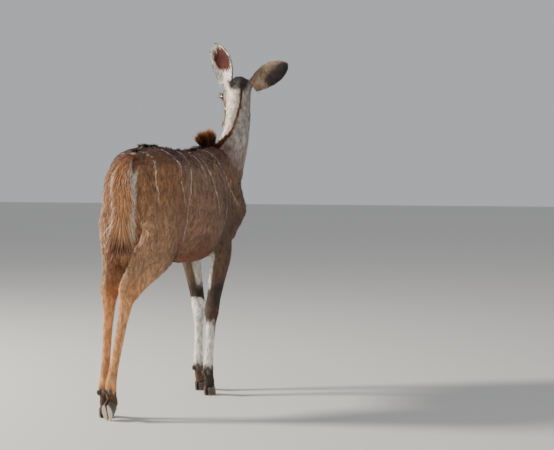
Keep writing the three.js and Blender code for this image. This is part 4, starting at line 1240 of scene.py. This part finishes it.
on_withers = is_top & (centre_off < 0.017) & (places[:, 1] > -0.255) & (places[:, 1] < -0.118)
on_withers &= (places[:, 1] > -0.182) | (places[:, 1] < -0.188)
withers_bed, used = bed_of_skin("withers_bed", on_withers)
back = places[used, 1]
rear_lean = 0.5 + 0.5 * ramp(back, -0.18, -0.12)
fore_lean = 0.12 + 0.4 * ramp(back, -0.25, -0.19)
lean = np.where(back > -0.185, rear_lean, fore_lean)
off = (places[used, 0] - MIDLINE) / 0.017
withers_long = 0.090 - 0.022 * np.abs(off) + 0.008 * np.sin(back * 260)
withers_lie = np.stack([0.12 * off, np.sin(lean), np.cos(lean)], axis=1)
withers_tint = mixed(np.abs(off) ** 2 * 0.5, paint(50, 32, 21), paint(96, 58, 34))
withers_hair = lock_material("withers_hair", paint(200, 132, 80), 0.66, 0.5)
fan_hair = {"lie": withers_lie, "long": withers_long, "wide": 0.0019, "thick": 700000, "tint": withers_tint}
fan_hair |= {"spread": 0.14, "lift": 0.0}
fans = plant("withers_locks", withers_bed, lock, withers_hair, fan_hair, 9)
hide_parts("withers_mane")
bpy.data.objects.remove(withers_bed)

NAPE = ((-0.020, -0.505, 1.545), (-0.030, -0.477, 1.464), (-0.030, -0.439, 1.386), (-0.024, -0.390, 1.310))
NAPE += ((-0.018, -0.352, 1.259), (0.000, -0.320, 1.218), (0.020, -0.275, 1.175))
nape_line = smooth_path(NAPE, 60)
near_nape = np.full(len(places), 9.0)
nape_t = np.zeros(len(places))
for index, point in enumerate(nape_line):
    gap = np.linalg.norm(places - point, axis=1)
    nape_t = np.where(gap < near_nape, index / (len(nape_line) - 1), nape_t)
    near_nape = np.minimum(near_nape, gap)
on_nape = (near_nape < 0.008 + 0.008 * ramp(nape_t, 0.7, 1.0)) & ~on_ear
nape_bed, used = bed_of_skin("nape_bed", on_nape)
t = nape_t[used]
nape_side = -0.5 * (1 - ramp(t, 0.55, 0.9)) * ramp(t, 0.0, 0.3)
nape_lie = np.stack([nape_side, np.full(len(t), 0.75), 0.45 - 0.9 * ramp(-t, -0.25, 0.0)], axis=1)
nape_long = 0.020 + 0.018 * ramp(t, 0.1, 0.4)
nape_tint = mixed(ramp(t, 0.2, 0.6), paint(96, 66, 46), paint(124, 76, 44))
nape_hair = {"lie": nape_lie, "long": nape_long, "wide": 0.0016, "thick": 340000, "tint": nape_tint}
nape_hair |= {"spread": 0.2, "lift": 0.0}
nape = plant("nape_locks", nape_bed, lock, mane_hair, nape_hair, 13)
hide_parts("neck_mane")
bpy.data.objects.remove(nape_bed)

# The eyes: large, dark and wet, with a long black pupil lying level, under lids edged with bare dark skin and
# fringed with lashes above.
EYE_RADIUS = 0.0190
eye_material, eye_shader = finish_of("wet_eye", (0.02, 0.012, 0.008), 0.12)
eye_shader.inputs["Coat Weight"].default_value = 1.0
eye_shader.inputs["Coat Roughness"].default_value = 0.02
eye_shader.inputs["IOR"].default_value = 1.38
eye_place = marked(eye_material.node_tree, "gaze", "Vector")
pupil = spot(eye_place, (1, 0, 0), (0.6, 0.42, 0.20), 0.12)
iris = spot(eye_place, (1, 0, 0), (0.8, 0.68, 0.62), 0.12)
eye_colour = blend(iris, paint(26, 18, 16), paint(74, 44, 26))
eye_colour = blend(pupil, eye_colour, paint(4, 4, 6))
feed(eye_shader.inputs["Base Color"], eye_colour)
head_turn = np.array(HEAD_PLACE.to_3x3())


def out_of_head(points):
    return points @ head_turn.T + np.array(HEAD_PLACE.translation)


def eye_middle(side_sign):
    return np.array((side_sign * EYE_AT[0], EYE_AT[1], EYE_AT[2]))


for name, side_sign in (("eye_left", 1), ("eye_right", -1)):
    ball = bmesh.new()
    bmesh.ops.create_uvsphere(ball, u_segments=64, v_segments=40, radius=1)
    shape = bpy.data.meshes.new(name + "_ball")
    ball.to_mesh(shape)
    ball.free()
    gaze = points_of(shape)
    bulge = 1 + 0.05 * ramp(gaze[:, 0] * side_sign, 0.8, 0.95)
    local = gaze * (EYE_RADIUS * bulge)[:, None] + eye_middle(side_sign)
    put_points(shape, out_of_head(local))
    store(shape, "gaze", gaze * np.array((side_sign, 1, 1)), "FLOAT_VECTOR")
    shape.shade_smooth()
    shape.materials.append(eye_material)
    ball_piece = placed(name + "_ball", shape)
    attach(ball_piece, "root")
    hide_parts(name)

# The lashes: stiff black hairs in one row along the edge of each upper lid. Each is a thin three-sided spike
# that droops a little on its way out.
LASHES = 34
LID_UP = 0.0178
LID_OUT = 0.0075
lash_points = []
lash_faces = []
chance = np.random.default_rng(4)
for side_sign in (1, -1):
    for index in range(LASHES):
        angle = math.radians(-62 + 124 * index / (LASHES - 1))
        round_it = np.array((0, math.sin(angle), math.cos(angle)))
        outwards = np.array((side_sign, 0.0, 0.0))
        root = eye_middle(side_sign) + round_it * LID_UP + outwards * LID_OUT
        length = 0.019 + 0.005 * chance.random()
        droop = np.array((0, 0.15 * math.sin(angle) + 0.1 * chance.normal(), -0.25))
        thin_way = np.array((0, math.cos(angle), -math.sin(angle))) * 0.00035
        start = len(lash_points)
        for t in (0.0, 0.35, 0.7):
            spine = root + length * (outwards * t + round_it * (0.35 * t) + droop * t * (1 - t) * 1.2)
            for corner in (thin_way, -thin_way, round_it * 0.0005):
                lash_points.append(spine + corner * (1 - t * 0.7))
        lash_points.append(root + length * (outwards + round_it * 0.42))
        for ring in (0, 3):
            for corner in range(3):
                near = start + ring + corner
                after = start + ring + (corner + 1) % 3
                lash_faces.append((near, after, after + 3, near + 3))
        for corner in range(3):
            lash_faces.append((start + 6 + corner, start + 6 + (corner + 1) % 3, start + 9))
        lash_faces.append((start + 2, start + 1, start))
lashes = mesh_object("lashes", out_of_head(np.array(lash_points)).tolist(), lash_faces)
fix = bmesh.new()
fix.from_mesh(lashes.data)
bmesh.ops.recalc_face_normals(fix, faces=fix.faces)
fix.to_mesh(lashes.data)
fix.free()
lashes.data.materials.append(finish_of("lash_hair", (0.012, 0.009, 0.008), 0.45)[0])
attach(lashes, "root")

# The hooves and dewclaws: hard horn, two hooves and two dewclaws to a foot, grown from the coronet down in
# fine rings, dark outside and worn pale and flat below.
horn, horn_shader = new_material("hoof_horn", 0.42)
horn_tree = horn.node_tree
grown_from = marked(horn_tree, "rise")
worn = marked(horn_tree, "sole")
horn_place = horn_tree.nodes.new("ShaderNodeTexCoord").outputs["Object"]
ring_lines = grain(vector_of(z=grown_from), 420.0, 2.0)
streaks = grain(mapped(horn_place, (1, 1, 0.12)), 190.0, 3.0)
horn_colour = blend(streaks, paint(44, 37, 33), paint(104, 92, 82))
horn_colour = blend(both(ring_lines, 0.5), horn_colour, paint(74, 63, 56))
horn_colour = blend(rise(grown_from, 0.012, 0.002), horn_colour, paint(120, 106, 92))
sole_colour = blend(grain(horn_place, 90.0, 4.0), paint(196, 176, 154), paint(222, 206, 188))
feed(horn_shader.inputs["Base Color"], blend(worn, horn_colour, sole_colour))
horn_bump = horn_tree.nodes.new("ShaderNodeBump")
horn_bump.inputs["Strength"].default_value = 0.5
horn_bump.inputs["Distance"].default_value = 0.0012
feed(horn_bump.inputs["Height"], calc("ADD", ring_lines, streaks))
feed(horn_shader.inputs["Normal"], horn_bump.outputs["Normal"])
horn_shader.inputs["Specular IOR Level"].default_value = 0.5


# The way that the flat sole faces: the largest flat of the solid.
def sole_way(mesh):
    total = {}
    for face in mesh.polygons:
        key = tuple(round(part, 2) for part in face.normal)
        total[key] = total.get(key, 0) + face.area
    return unit(np.array(max(total, key=total.get)))


for node_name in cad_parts:
    if "claw" not in node_name:
        continue
    hoof = joined_copy(node_name + "_horn", [node_name])
    below = sole_way(hoof.data)
    around = hoof.modifiers.new("rounded", "REMESH")
    around.mode = "VOXEL"
    around.voxel_size = 0.0012 if "dew" in node_name else 0.0016
    applied(hoof)
    relax(hoof.data, 0.5, 5, False)
    shape = points_of(hoof.data)
    height = -(shape @ below)
    height -= height.min()
    store(hoof.data, "rise", height)
    store(hoof.data, "sole", ramp(normals_of(hoof.data) @ below, 0.75, 0.92))
    hoof.data.shade_smooth()
    hoof.data.materials.clear()
    hoof.data.materials.append(horn)
    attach(hoof, "root")
    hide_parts(node_name)
bpy.data.objects.remove(lock)
